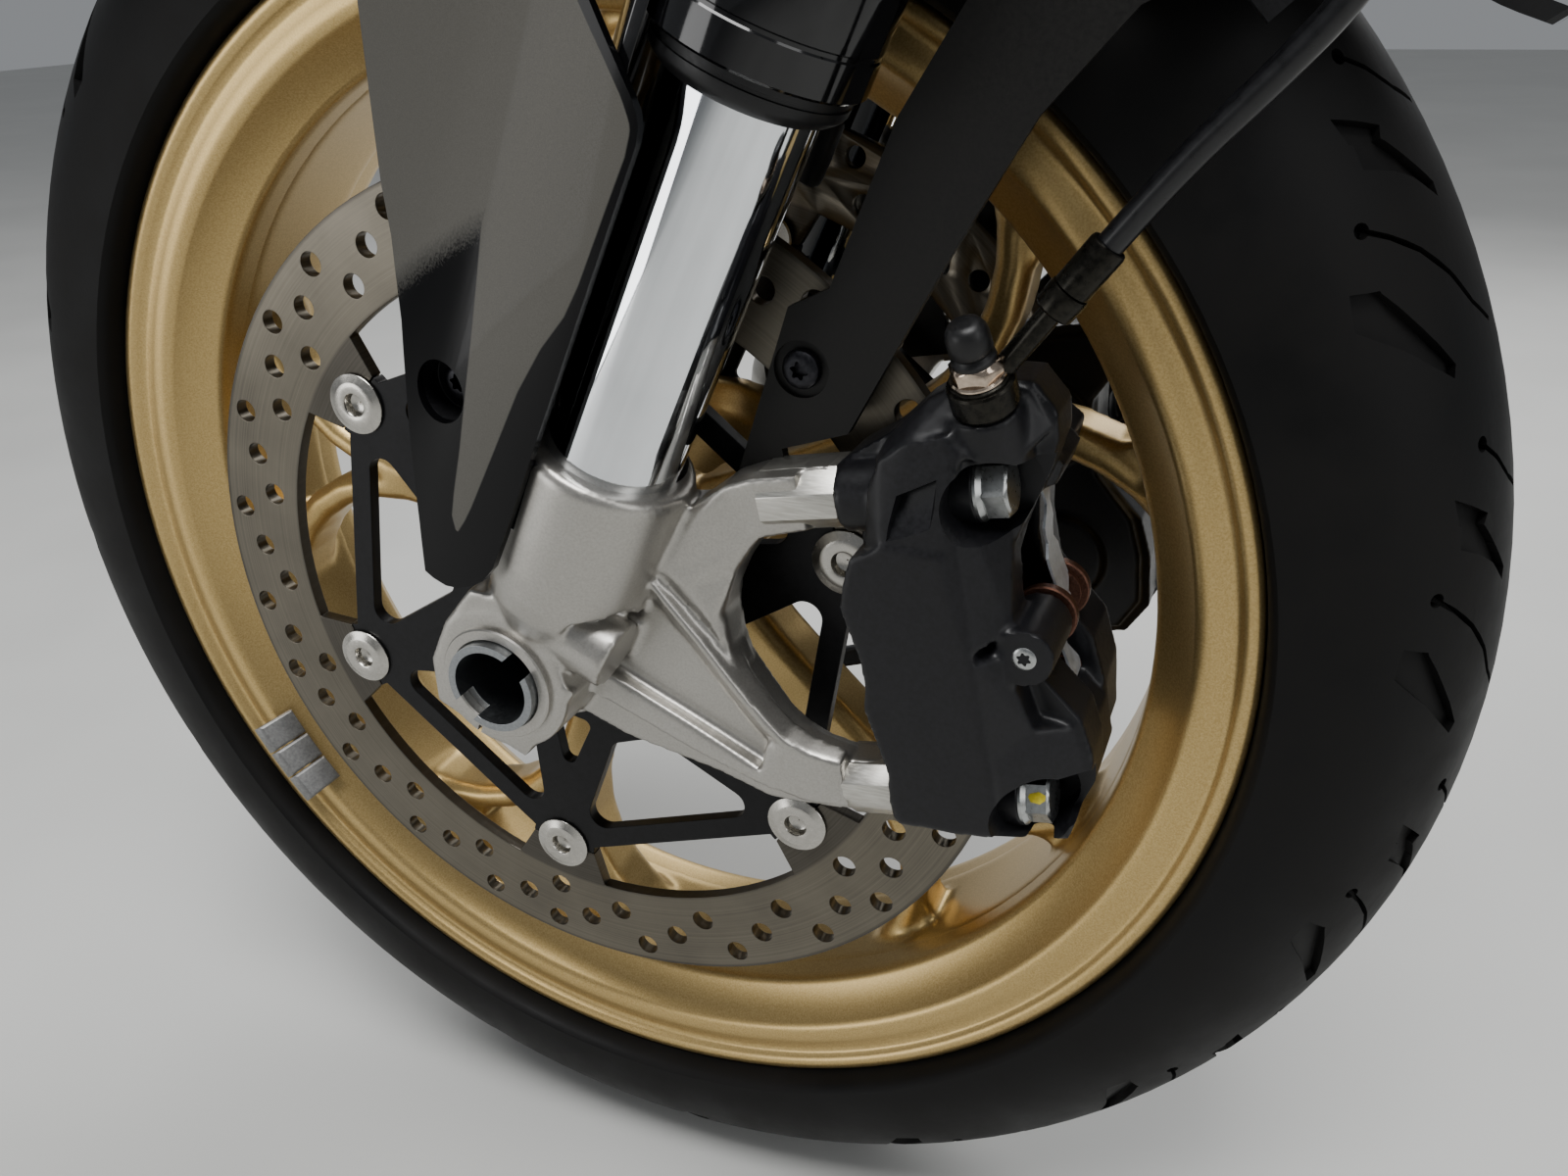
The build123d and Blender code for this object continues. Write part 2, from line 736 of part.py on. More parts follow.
# Brake pads: a steel plate and a lining on each side of the disc
pad_face_in = disc_y - disc_thickness / 2 - pad_clearance
pad_face_out = disc_y + disc_thickness / 2 + pad_clearance
shrunk_pad = [(u - 0.5 if u > 150 else u + 0.5, v * 0.985) for u, v in pad_outline]
with BuildPart() as brake_pads:
    extrude(rounded(side(pad_face_out, caliper_angle), shrunk_pad, 2), amount=3)
    extrude(rounded(side(pad_face_out + 3, caliper_angle), shrunk_pad, 2), amount=pad_plate)
    extrude(rounded(side(pad_face_in - 3, caliper_angle), shrunk_pad, 2), amount=3)
    extrude(rounded(side(pad_face_in - 3 - pad_plate, caliper_angle), shrunk_pad, 2), amount=pad_plate)
    for low in (pad_face_out + 3, pad_face_in - 3 - pad_plate):
        with BuildSketch(side(low, caliper_angle)):
            with Locations(pad_pin_at):
                Circle(pad_ear_r)
            with Locations((pad_pin_at[0] - pad_ear_r, pad_pin_at[1])):
                Rectangle(2 * pad_ear_r, 1.4 * pad_ear_r)
            with Locations(pad_pin_at):
                Circle(pad_pin_r + 0.1, mode=Mode.SUBTRACT)
        extrude(amount=pad_plate)

# Pistons, open cups that stand between each pad and the caliper behind it
with BuildPart() as caliper_pistons:
    for back in (slot_low - recess, pad_face_out + 3 + pad_plate):
        front = pad_face_in - 3 - pad_plate if back < disc_y else slot_low + disc_slot + recess
        with BuildSketch(side(back, caliper_angle)):
            with Locations(piston_at, (piston_at[0], -piston_at[1])):
                Circle(piston_r)
                Circle(piston_bore_r, mode=Mode.SUBTRACT)
        extrude(amount=front - back)

# Pad pin across the caliper's window, its head sunk in the boss
pin_tip_y = slot_low - 14
with BuildPart() as pad_pin:
    for start, radius, end in (
        (pin_tip_y, pad_pin_r, pin_boss_y - pin_head),
        (pin_boss_y - pin_head, pin_head_r, pin_boss_y),
    ):
        with BuildSketch(side(start, caliper_angle)):
            with Locations(pad_pin_at):
                Circle(radius)
        extrude(amount=end - start)

# Banjo fitting at the caliper's upper end: a hollow bolt through an eye, and the eye's pipe and sleeve
banjo_line = side(banjo_y, caliper_angle)
eye_centre = banjo_line.from_local_coords((banjo_u, banjo_seat + 5, 0))
pipe_way = banjo_line.x_dir * cos(radians(pipe_angle)) + banjo_line.y_dir * sin(radians(pipe_angle))


# A plane square to the banjo bolt, at a height above its seat
def bolt_level(height):
    return Plane(origin=eye_centre + banjo_line.y_dir * (height - 5), z_dir=banjo_line.y_dir)


with BuildPart() as hose_banjo:
    for start, radius, length in ((0, 7.5, 1.0), (1.0, 8.5, 8.0), (9.0, 7.5, 1.0)):
        with BuildSketch(bolt_level(start)):
            Circle(radius)
        extrude(amount=length)
    with BuildSketch(bolt_level(10.0)):
        RegularPolygon(6.5, 6, major_radius=False)
    extrude(amount=5.0)
    for start, radius, end in (
        (0, pipe_r, pipe_length),
        (pipe_length, collar_r, pipe_length + collar_length),
        (pipe_length + collar_length, sleeve_r, pipe_length + sleeve_length),
    ):
        with BuildSketch(Plane(origin=eye_centre + pipe_way * start, z_dir=pipe_way)):
            Circle(radius)
        extrude(amount=end - start)

# Bleed nipple on the banjo bolt's head, under its rubber cap
with BuildPart() as bleed_nipple:
    for start, radius, length in ((15.0, 4.0, 2.0), (17.0, 5.8, 8.0), (25.0, 5.0, 2.0)):
        with BuildSketch(bolt_level(start)):
            Circle(radius)
        extrude(amount=length)

# Brake hose, held by the banjo below and by the union under the bottom yoke above
union_centre = axle + up * (yoke_low - union_height / 2) + aft * union_aft
port_way = outward * cos(radians(port_angle)) - up * sin(radians(port_angle))
hose_start = eye_centre + pipe_way * (pipe_length + sleeve_length)
hose_end = union_centre + port_way * port_length
# Points between: to the rear of the axle, above it, across
hose_route = [
    (214, 186, -105),
    (229, 204, -105),
    (243, 232, -104.5),
    (254, 267, -102),
    (262, 306, -97),
    (267, 346, -88),
    (269, 384, -74),
]
hose_middle = [axle + Vector(x, y, z) for x, z, y in hose_route]
hose_points = [hose_start, hose_start + pipe_way * 21, *hose_middle, hose_end + port_way * 25, hose_end]


# Each bend is as large as its two runs allow
def bend_radii(points):
    radii = []
    for before, here, after in zip(points, points[1:], points[2:]):
        turn = (here - before).get_angle(after - here)
        shorter = min((here - before).length, (after - here).length)
        radii.append(0.45 * shorter / tan(radians(turn / 2)))
    return radii


hose_radii = bend_radii(hose_points)
print("hose bend radii", [round(radius) for radius in hose_radii])
with BuildPart() as brake_hose:
    with BuildLine() as hose_line:
        FilletPolyline(*hose_points, radius=hose_radii)
    with BuildSketch(Plane(origin=hose_line.line @ 0, z_dir=hose_line.line % 0)):
        Circle(hose_r)
    sweep(path=hose_line.line)

# Union under the bottom yoke that joins the two hoses, with its inlet below
with BuildPart() as hose_union:
    with BuildSketch(level(yoke_low - union_height, union_aft)):
        Rectangle(22, 2 * union_half)
        fillet(vertices(), 3)
    extrude(amount=union_height)
    with BuildSketch(level(yoke_low - union_height - 10, union_aft)):
        Circle(7)
    extrude(amount=12)
    with BuildSketch(Plane(origin=union_centre, z_dir=port_way)):
        Circle(port_r)
    extrude(amount=port_length)
    mirror(about=Plane.XZ)

# Bottom yoke: a bridge between two split clamps, with the stem's boss in its middle
clamp_r = clamp_zone_r + clamp_wall
with BuildPart() as bottom_yoke:
    with BuildSketch(level(yoke_low)):
        for sign in (1, -1):
            with Locations((tube_offset, sign * tube_spacing / 2)):
                Circle(clamp_r)
        with Locations((stem_aft, 0)):
            Circle(30)
        with BuildLine():
            Polyline((-14, -95), (24, -118), (50, -60), (58, -20), (58, 20), (50, 60), (24, 118), (-14, 95),
                     (2, 40), (2, -40), close=True)
        make_face()
        for sign in (1, -1):
            with Locations((tube_offset - clamp_r, sign * (tube_spacing / 2 - 12))):
                Rectangle(26, 30)
    extrude(amount=yoke_height)
    with BuildSketch(level(yoke_low + 8)):
        with Locations((36, 52), (36, -52)):
            Circle(14)
    extrude(amount=yoke_height, mode=Mode.SUBTRACT)
    with BuildSketch(level(yoke_low - 1)):
        for sign in (1, -1):
            with Locations((tube_offset, sign * tube_spacing / 2)):
                Circle(clamp_zone_r)
        with Locations((stem_aft, 0)):
            Circle(stem_press_r)
        for sign in (1, -1):
            with Locations((tube_offset - clamp_r, sign * (tube_spacing / 2 - 12))):
                Rectangle(34, 3)
    extrude(amount=yoke_height + 2, mode=Mode.SUBTRACT)

# Steering stem pressed into the yoke, with the two bearing seats and a threaded end
with BuildPart() as steering_stem:
    revolve(
        outline(stem_section, [
            (9, yoke_low),
            (stem_press_r, yoke_low),
            (stem_press_r, yoke_low + yoke_height),
            (stem_seat_r, yoke_low + yoke_height),
            (stem_seat_r, seat_height + stem_seat_length / 2),
            (stem_r, seat_height + stem_seat_length / 2 + 4),
            (stem_r, seat_height + 95),
            (stem_top_r, seat_height + 97),
            (stem_top_r, seat_height + stem_length),
            (9, seat_height + stem_length),
        ]),
        axis=stem_axis,
    )

# Fork guard's section square to the tubes: an outer and an inner curve, then a straight flank
guard_arc = [(-4, -131.5), (-36, -130), (-70, -121.5)]
guard_end = (-200, -72)
inner_arc = [(q, y + guard_wall) for q, y in guard_arc]
inner_end = (guard_end[0], guard_end[1] + guard_wall)

# Mudguard: an arched shell over the tyre, and a wing on each side that carries the fork guard
shell = [
    (mudguard_r, 0),
    (mudguard_r - 0.12 * skirt_drop, 0.35 * mudguard_half_width),
    (mudguard_r - 0.42 * skirt_drop, 0.7 * mudguard_half_width),
    (mudguard_r - 0.75 * skirt_drop, 0.91 * mudguard_half_width),
    (skirt_r, mudguard_half_width),
    (skirt_r - skirt_depth, mudguard_half_width),
]
inner_shell = [(r - mudguard_wall, max(y - mudguard_wall, 0)) for r, y in shell]
wing_front = -165
wing_rear = -34
guard_fit = 0.3
guard_slope = (inner_end[1] - inner_arc[2][1]) / (inner_end[0] - inner_arc[2][0])
wing_y = inner_arc[2][1] + guard_slope * (wing_front - inner_arc[2][0]) + guard_fit
with BuildPart() as guard_wing:
    with BuildSketch(level(skirt_r / 2)):
        with BuildLine():
            Polyline(
                (wing_rear, -mudguard_half_width),
                (wing_rear, inner_arc[1][1] + guard_fit),
                (inner_arc[2][0], inner_arc[2][1] + guard_fit),
                (wing_front, wing_y),
                (wing_front, -mudguard_half_width),
                close=True,
            )
        make_face()
    extrude(amount=skirt_r * 0.7)
    with BuildSketch(side(0)):
        Circle(skirt_r)
        Circle(skirt_r - mudguard_wall, mode=Mode.SUBTRACT)
    extrude(amount=tube_spacing, mode=Mode.INTERSECT)


flap_root = mudguard_rear + 2
flap_middle = (mudguard_rear + flap_end) / 2


# A point of the rear flap's outline: angle above the rear, height over the shell's crown
def flap_point(angle, height):
    return ((mudguard_r + height) * cos(radians(angle)), (mudguard_r + height) * sin(radians(angle)))


with BuildPart() as mudguard:
    rear_way = (cos(radians(mudguard_rear)), 0, sin(radians(mudguard_rear)))
    rear_up = (-sin(radians(mudguard_rear)), 0, cos(radians(mudguard_rear)))
    with BuildSketch(Plane(origin=axle, x_dir=rear_way, z_dir=rear_up)):
        with BuildLine():
            Polyline(*shell, *reversed(inner_shell), close=True)
        make_face()
        mirror(about=Plane.XZ)
    revolve(axis=wheel_axis, revolution_arc=-(mudguard_front - mudguard_rear))
    add(guard_wing.part)
    add(mirror(guard_wing.part, about=Plane.XZ, mode=Mode.PRIVATE))
    with BuildSketch(side(0)):
        with BuildLine():
            flap_low = Spline(flap_point(flap_root, -mudguard_wall), flap_point(flap_middle, 0),
                              flap_point(flap_end, flap_lift))
            flap_tip = Line(flap_low @ 1, flap_point(flap_end, flap_lift + 2 * mudguard_wall))
            flap_high = Spline(flap_tip @ 1, flap_point(flap_middle, 2 * mudguard_wall),
                               flap_point(flap_root, 0))
            Line(flap_high @ 1, flap_low @ 0)
        make_face()
    extrude(amount=flap_half_width, both=True)

# Fork guard: a curved skin ahead of the leg, cut to its outline
guard_outline = [(32, -31.5), (33, -20), (44, -9.5), (196, -9), (200, -16), (214, -33), (guard_reach, -33),
                 (guard_reach, -209), (134, -84.6), (123, -75.8), (102.6, -63.8), (71.5, -50),
                 (46.9, -38.2)]
with BuildPart() as fork_guard:
    with BuildSketch(level(20)):
        with BuildLine():
            ThreePointArc(*guard_arc)
            Polyline(guard_arc[2], guard_end, inner_end, inner_arc[2])
            ThreePointArc(*reversed(inner_arc))
            Line(inner_arc[0], guard_arc[0])
        make_face()
    extrude(amount=guard_reach)
    with BuildSketch(Plane(origin=axle, x_dir=aft, z_dir=outward)):
        with BuildLine():
            Polyline(*[(q, s) for s, q in guard_outline], close=True)
        make_face()
        with Locations((guard_hole_at[1], guard_hole_at[0])):
            Circle(guard_hole_r, mode=Mode.SUBTRACT)
    extrude(amount=tube_spacing, mode=Mode.INTERSECT)
    with BuildSketch(side(0)):
        Circle(guard_top_r)
    extrude(amount=tube_spacing, mode=Mode.INTERSECT)

# Shield round the front of the inner tube
with BuildPart() as tube_shield:
    with BuildSketch(level(shield_low, tube_offset, -tube_spacing / 2)):
        Circle(shield_r)
        Circle(foot_barrel_r, mode=Mode.SUBTRACT)
        with Locations((shield_r + 6, 0)):
            Rectangle(2 * shield_r, 3 * shield_r, mode=Mode.SUBTRACT)
    extrude(amount=foot_barrel_top - shield_low)
    with BuildSketch(level(foot_barrel_top, tube_offset, -tube_spacing / 2)):
        Circle(shield_r)
        Circle(shield_r - shield_wall, mode=Mode.SUBTRACT)
        with Locations((shield_r + 6, 0)):
            Rectangle(2 * shield_r, 3 * shield_r, mode=Mode.SUBTRACT)
    extrude(amount=shield_top - foot_barrel_top)
    for y, width in ((0, shield_inner_y), (shield_outer_y, tube_spacing)):
        with BuildSketch(side(y)):
            Rectangle(3 * mudguard_r, 3 * mudguard_r)
        extrude(amount=width, mode=Mode.SUBTRACT)


# A point at a radius from the axle and an angle above the rear
def polar(radius, angle):
    return (radius * cos(radians(angle)), radius * sin(radians(angle)))


# Stay from the fork foot to the rear of the mudguard
stay_y = web_inner_y - stay_wall / 2
stay_outline = [
    (70, 58),
    (92, 62),
    (89, 80),
    (110, 87),
    polar(skirt_r - 61, 47.6),
    polar(skirt_r - 28, 47.7),
    polar(skirt_r + 2, 45.5),
    polar(skirt_r + 6, 50.9),
    polar(skirt_r - 26, 54.6),
    polar(skirt_r - 53, 55.1),
    polar(skirt_r - 85, 54.7),
    (104.5, 129),
    (92, 123),
]
pad_low = skirt_r - 14
stay_pad = [polar(pad_low, 50), polar(pad_low, 46), polar(skirt_r, 46), polar(skirt_r, 50)]
with BuildPart() as mudguard_stay:
    extrude(rounded(side(stay_y - stay_wall / 2), stay_outline, 4), amount=stay_wall)
    extrude(rounded(side(mudguard_half_width), stay_pad, 3), amount=stay_y - mudguard_half_width)

# Each side has its own copy of these
sided = [
    ("brake_disc", brake_disc),
    ("disc_carrier", disc_carrier),
    ("disc_bobbins", disc_bobbins),
    ("inner_tube", inner_tube),
    ("outer_tube", outer_tube),
    ("dust_seal", dust_seal),
    ("fork_cap", fork_cap),
    ("fork_foot", fork_foot),
    ("caliper_body", caliper_body),
    ("caliper_bolts", caliper_bolts),
    ("brake_pads", brake_pads),
    ("caliper_pistons", caliper_pistons),
    ("pad_pin", pad_pin),
    ("hose_banjo", hose_banjo),
    ("bleed_nipple", bleed_nipple),
    ("brake_hose", brake_hose),
    ("fork_guard", fork_guard),
    ("tube_shield", tube_shield),
    ("mudguard_stay", mudguard_stay),
]
single = [
    ("wheel_rim", wheel_rim),
    ("tyre", tyre),
    ("tyre_valve", tyre_valve),
    ("wheel_bearings", wheel_bearings),
    ("axle_spacers", axle_spacers),
    ("front_axle", front_axle),
    ("hose_union", hose_union),
    ("bottom_yoke", bottom_yoke),
    ("steering_stem", steering_stem),
    ("mudguard", mudguard),
]
for name, piece in single:
    piece.part.label = name
    export_step(piece.part, f"parts/{name}.step")
for name, piece in sided:
    piece.part.label = name + "_left"
    export_step(piece.part, f"parts/{name}_left.step")
    right_copy = mirror(piece.part, about=Plane.XZ)
    right_copy.label = name + "_right"
    export_step(right_copy, f"parts/{name}_right.step")
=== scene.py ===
import bpy
import json
from math import cos, degrees, pi, radians, sin
from mathutils import Matrix, Vector

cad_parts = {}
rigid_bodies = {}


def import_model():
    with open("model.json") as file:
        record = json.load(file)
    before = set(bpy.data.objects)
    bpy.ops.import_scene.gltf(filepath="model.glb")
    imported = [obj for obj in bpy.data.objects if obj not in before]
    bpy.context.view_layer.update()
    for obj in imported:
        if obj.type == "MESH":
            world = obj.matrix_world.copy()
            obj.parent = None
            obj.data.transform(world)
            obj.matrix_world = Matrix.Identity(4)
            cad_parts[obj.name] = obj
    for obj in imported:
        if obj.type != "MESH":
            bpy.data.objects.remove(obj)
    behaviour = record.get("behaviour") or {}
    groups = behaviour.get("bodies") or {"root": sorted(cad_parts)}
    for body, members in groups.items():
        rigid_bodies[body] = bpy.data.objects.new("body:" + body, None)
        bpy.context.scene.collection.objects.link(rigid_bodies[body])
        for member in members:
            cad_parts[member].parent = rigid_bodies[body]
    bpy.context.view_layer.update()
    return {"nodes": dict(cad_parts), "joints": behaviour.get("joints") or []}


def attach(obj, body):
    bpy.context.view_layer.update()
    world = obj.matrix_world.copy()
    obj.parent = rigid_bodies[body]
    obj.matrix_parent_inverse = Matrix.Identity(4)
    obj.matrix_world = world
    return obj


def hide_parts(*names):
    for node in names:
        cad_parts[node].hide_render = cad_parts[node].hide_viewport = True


# Motorcycle front wheel in its upside-down fork. Metres; X to the rear, Y to the rider's right, Z up.
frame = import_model()
nodes = frame["nodes"]
print("frame loaded:", len(nodes), "nodes")

mm = 0.001
rake = radians(25)
legUp = Vector((sin(rake), 0, cos(rake)))      # along the fork tubes
legAft = Vector((cos(rake), 0, -sin(rake)))    # square to them, to the rear
outboard = Vector((0, -1, 0))                  # away from the wheel on the left side
hub = Vector(frame["joints"][0]["pos_m"])      # centre of the wheel
axleWay = Vector((0, 1, 0))
caliperAngle = 10.5                            # line from the axle to the middle of the caliper


# A point in millimetres: to the rear of the axle, above it, and outboard of the middle on the left
def atAxle(x, z, out):
    return hub + Vector((x, -out, z)) * mm


# The same, turned about the axle
def turned(angle, u, v, out):
    a = radians(angle)
    return atAxle(u * cos(a) - v * sin(a), u * sin(a) + v * cos(a), out)


# The same on the caliper's line: along it, across it, outboard
def onCaliper(u, v, out):
    return turned(caliperAngle, u, v, out)


# Up a fork leg from the axle, aft of the axle's line, and outboard on the left
def upLeg(s, q, out):
    return hub + (legUp * s + legAft * q + outboard * out) * mm


# The direction from the axle at an angle above the rear
def awayAt(angle):
    return (turned(angle, 1, 0, 0) - hub).normalized()


# Tools for selecting and changing pieces
def pick(*pieces):
    bpy.ops.object.select_all(action="DESELECT")
    for piece in pieces:
        piece.select_set(True)
    bpy.context.view_layer.objects.active = pieces[0]


# Edit mode with the whole mesh selected, and back
def startEdit(piece):
    pick(piece)
    bpy.ops.object.mode_set(mode="EDIT")
    bpy.ops.mesh.select_all(action="SELECT")


def endEdit():
    bpy.ops.object.mode_set(mode="OBJECT")


def applyModifier(piece, kind, **settings):
    pick(piece)
    modifier = piece.modifiers.new(kind.title(), kind)
    for name, value in settings.items():
        setattr(modifier, name, value)
    bpy.ops.object.modifier_apply(modifier=modifier.name)


def smoothShade(piece, angle=35):
    pick(piece)
    bpy.ops.object.shade_smooth_by_angle(angle=radians(angle))


def makeOutwards(piece):
    startEdit(piece)
    bpy.ops.mesh.remove_doubles(threshold=0.01 * mm)
    bpy.ops.mesh.normals_make_consistent(inside=False)
    endEdit()


# Puts the piece's place into its mesh, as the frame's own nodes have it
def settle(piece):
    pick(piece)
    bpy.ops.object.transform_apply(location=True, rotation=True, scale=True)


# Materials. A hex colour or a grey level as a linear colour
def toColour(value):
    if not isinstance(value, str):
        return [value, value, value, 1]
    channels = [int(value[i:i + 2], 16) / 255 for i in (1, 3, 5)]
    return [c / 12.92 if c <= 0.04045 else ((c + 0.055) / 1.055) ** 2.4 for c in channels] + [1]


# Adds a node: its settings, what goes into each socket, and the sockets that its output goes to. A socket
# takes a number, a colour or a node; stops are a colour ramp's places and colours
def addNode(material, kind, settings=None, to=(), **sockets):
    tree = material.node_tree
    node = tree.nodes.new("ShaderNode" + kind)
    for name, value in (settings or {}).items():
        if name == "stops":
            elements = node.color_ramp.elements
            for number, (position, colour) in enumerate(value):
                stop = elements[number] if number < 2 else elements.new(position)
                stop.position, stop.color = position, toColour(colour)
        else:
            setattr(node, name, value)
    for name, value in sockets.items():
        socket = node.inputs[int(name[1:]) if name[1:].isdigit() else name.replace("_", " ")]
        if isinstance(value, bpy.types.Node):
            tree.links.new(next(output for output in value.outputs if output.enabled), socket)
        else:
            socket.default_value = toColour(value) if isinstance(value, str) else value
    for target, name in to:
        tree.links.new(next(output for output in node.outputs if output.enabled), target.inputs[name])
    return node


def newMaterial(name, **shading):
    material = bpy.data.materials.new(name)
    material.use_nodes = True
    shader = material.node_tree.nodes["Principled BSDF"]
    for socket, value in shading.items():
        shader.inputs[socket.replace("_", " ")].default_value = value
    place = addNode(material, "Mapping", {"name": "place"})     # the piece's own place, in metres
    material.node_tree.links.new(addNode(material, "TexCoord").outputs["Object"], place.inputs["Vector"])
    return material, shader, place


# Ends a material: colour and roughness each from two places on a pattern, and relief from another
# pattern with its strength and its depth in mm
def coverSurface(material, shader, pattern, colours, gloss, relief, strength, depth):
    addNode(material, "ValToRGB", {"stops": colours}, [(shader, "Base Color")], Fac=pattern)
    addNode(material, "ValToRGB", {"stops": gloss}, [(shader, "Roughness")], Fac=pattern)
    addNode(material, "Bump", {}, [(shader, "Normal")], Height=relief, Strength=strength, Distance=depth * mm)


# Vulcanised rubber: the eye sees a dull black with a faint brown bloom and no clear reflection
def makeTyreRubber():
    look = {"cloud": 1 / (45 * mm), "pore": 1 / (1.6 * mm), "colours": [(0.38, "#090909"), (0.68, "#11100f")],
            "gloss": [(0.35, 0.5), (0.7, 0.68)]}
    material, shader, place = newMaterial("vulcanisedRubber", Specular_IOR_Level=0.15, IOR=1.5)
    cloud = addNode(material, "TexNoise", Vector=place, Scale=look["cloud"], Detail=5, Roughness=0.62)
    pores = addNode(material, "TexNoise", Vector=place, Scale=look["pore"], Detail=3)
    coverSurface(material, shader, cloud, look["colours"], look["gloss"], pores, strength=0.25, depth=0.12)
    return material


# Gold powder coat with mica over cast aluminium: satin, with a fine sparkle and a soft orange peel
def makeGoldCoat():
    look = {"flake": 1 / (0.7 * mm), "peel": 1 / (2.2 * mm), "gloss": [(0.3, 0.32), (0.7, 0.4)],
            "colours": [(0.36, "#b3975f"), (0.66, "#cdb27b")]}
    material, shader, place = newMaterial("goldPowderCoat", Metallic=0.86, Coat_Weight=0.12,
                                          Coat_Roughness=0.25)
    flake = addNode(material, "TexNoise", Vector=place, Scale=look["flake"], Detail=4, Roughness=0.7)
    peel = addNode(material, "TexNoise", Vector=place, Scale=look["peel"], Detail=2)
    coverSurface(material, shader, flake, look["colours"], look["gloss"], peel, strength=0.12, depth=0.05)
    return material


# Stainless disc steel, ground in circles: fine rings, and a warmer track where the pads run
def makeDiscSteel():
    look = {"line": 1 / (1.1 * mm), "cloud": 1 / (26 * mm), "trackInner": 127.5, "trackOuter": 158.5,
            "ground": [(0.45, "#3f3c37"), (0.9, "#5f5b54")], "worn": [(0.45, "#57534b"), (0.9, "#7d776b")],
            "gloss": [(0.3, 0.27), (0.7, 0.4)]}
    material, shader, place = newMaterial("groundStainlessSteel", Metallic=1.0, Anisotropic=0.55)
    centred = addNode(material, "VectorMath", {"operation": "SUBTRACT"}, i0=place, i1=hub)
    flat = addNode(material, "VectorMath", {"operation": "MULTIPLY"}, i0=centred, i1=(1, 0, 1))
    radius = addNode(material, "VectorMath", {"operation": "LENGTH"}, i0=flat)
    rings = addNode(material, "CombineXYZ", X=radius)
    lines = addNode(material, "TexNoise", Vector=rings, Scale=look["line"], Detail=6, Roughness=0.75)
    cloud = addNode(material, "TexNoise", Vector=place, Scale=look["cloud"], Detail=3)
    mixed = addNode(material, "Math", {"operation": "MULTIPLY_ADD"}, i0=cloud, i1=0.35, i2=lines)
    swept = addNode(material, "MapRange", Value=radius, From_Min=(look["trackInner"] - 2) * mm,
                    From_Max=look["trackInner"] * mm)
    beyond = addNode(material, "MapRange", Value=radius, From_Min=look["trackOuter"] * mm,
                     From_Max=(look["trackOuter"] + 1) * mm)
    track = addNode(material, "Math", {"operation": "SUBTRACT"}, i0=swept, i1=beyond)
    ground = addNode(material, "ValToRGB", {"stops": look["ground"]}, Fac=mixed)
    worn = addNode(material, "ValToRGB", {"stops": look["worn"]}, Fac=mixed)
    addNode(material, "ValToRGB", {"stops": look["gloss"]}, [(shader, "Roughness")], Fac=lines)
    addNode(material, "Bump", {}, [(shader, "Normal")], Height=lines, Strength=0.3, Distance=0.04 * mm)
    addNode(material, "Mix", {"data_type": "RGBA"}, [(shader, "Base Color")], i0=track, i6=ground, i7=worn)
    return material


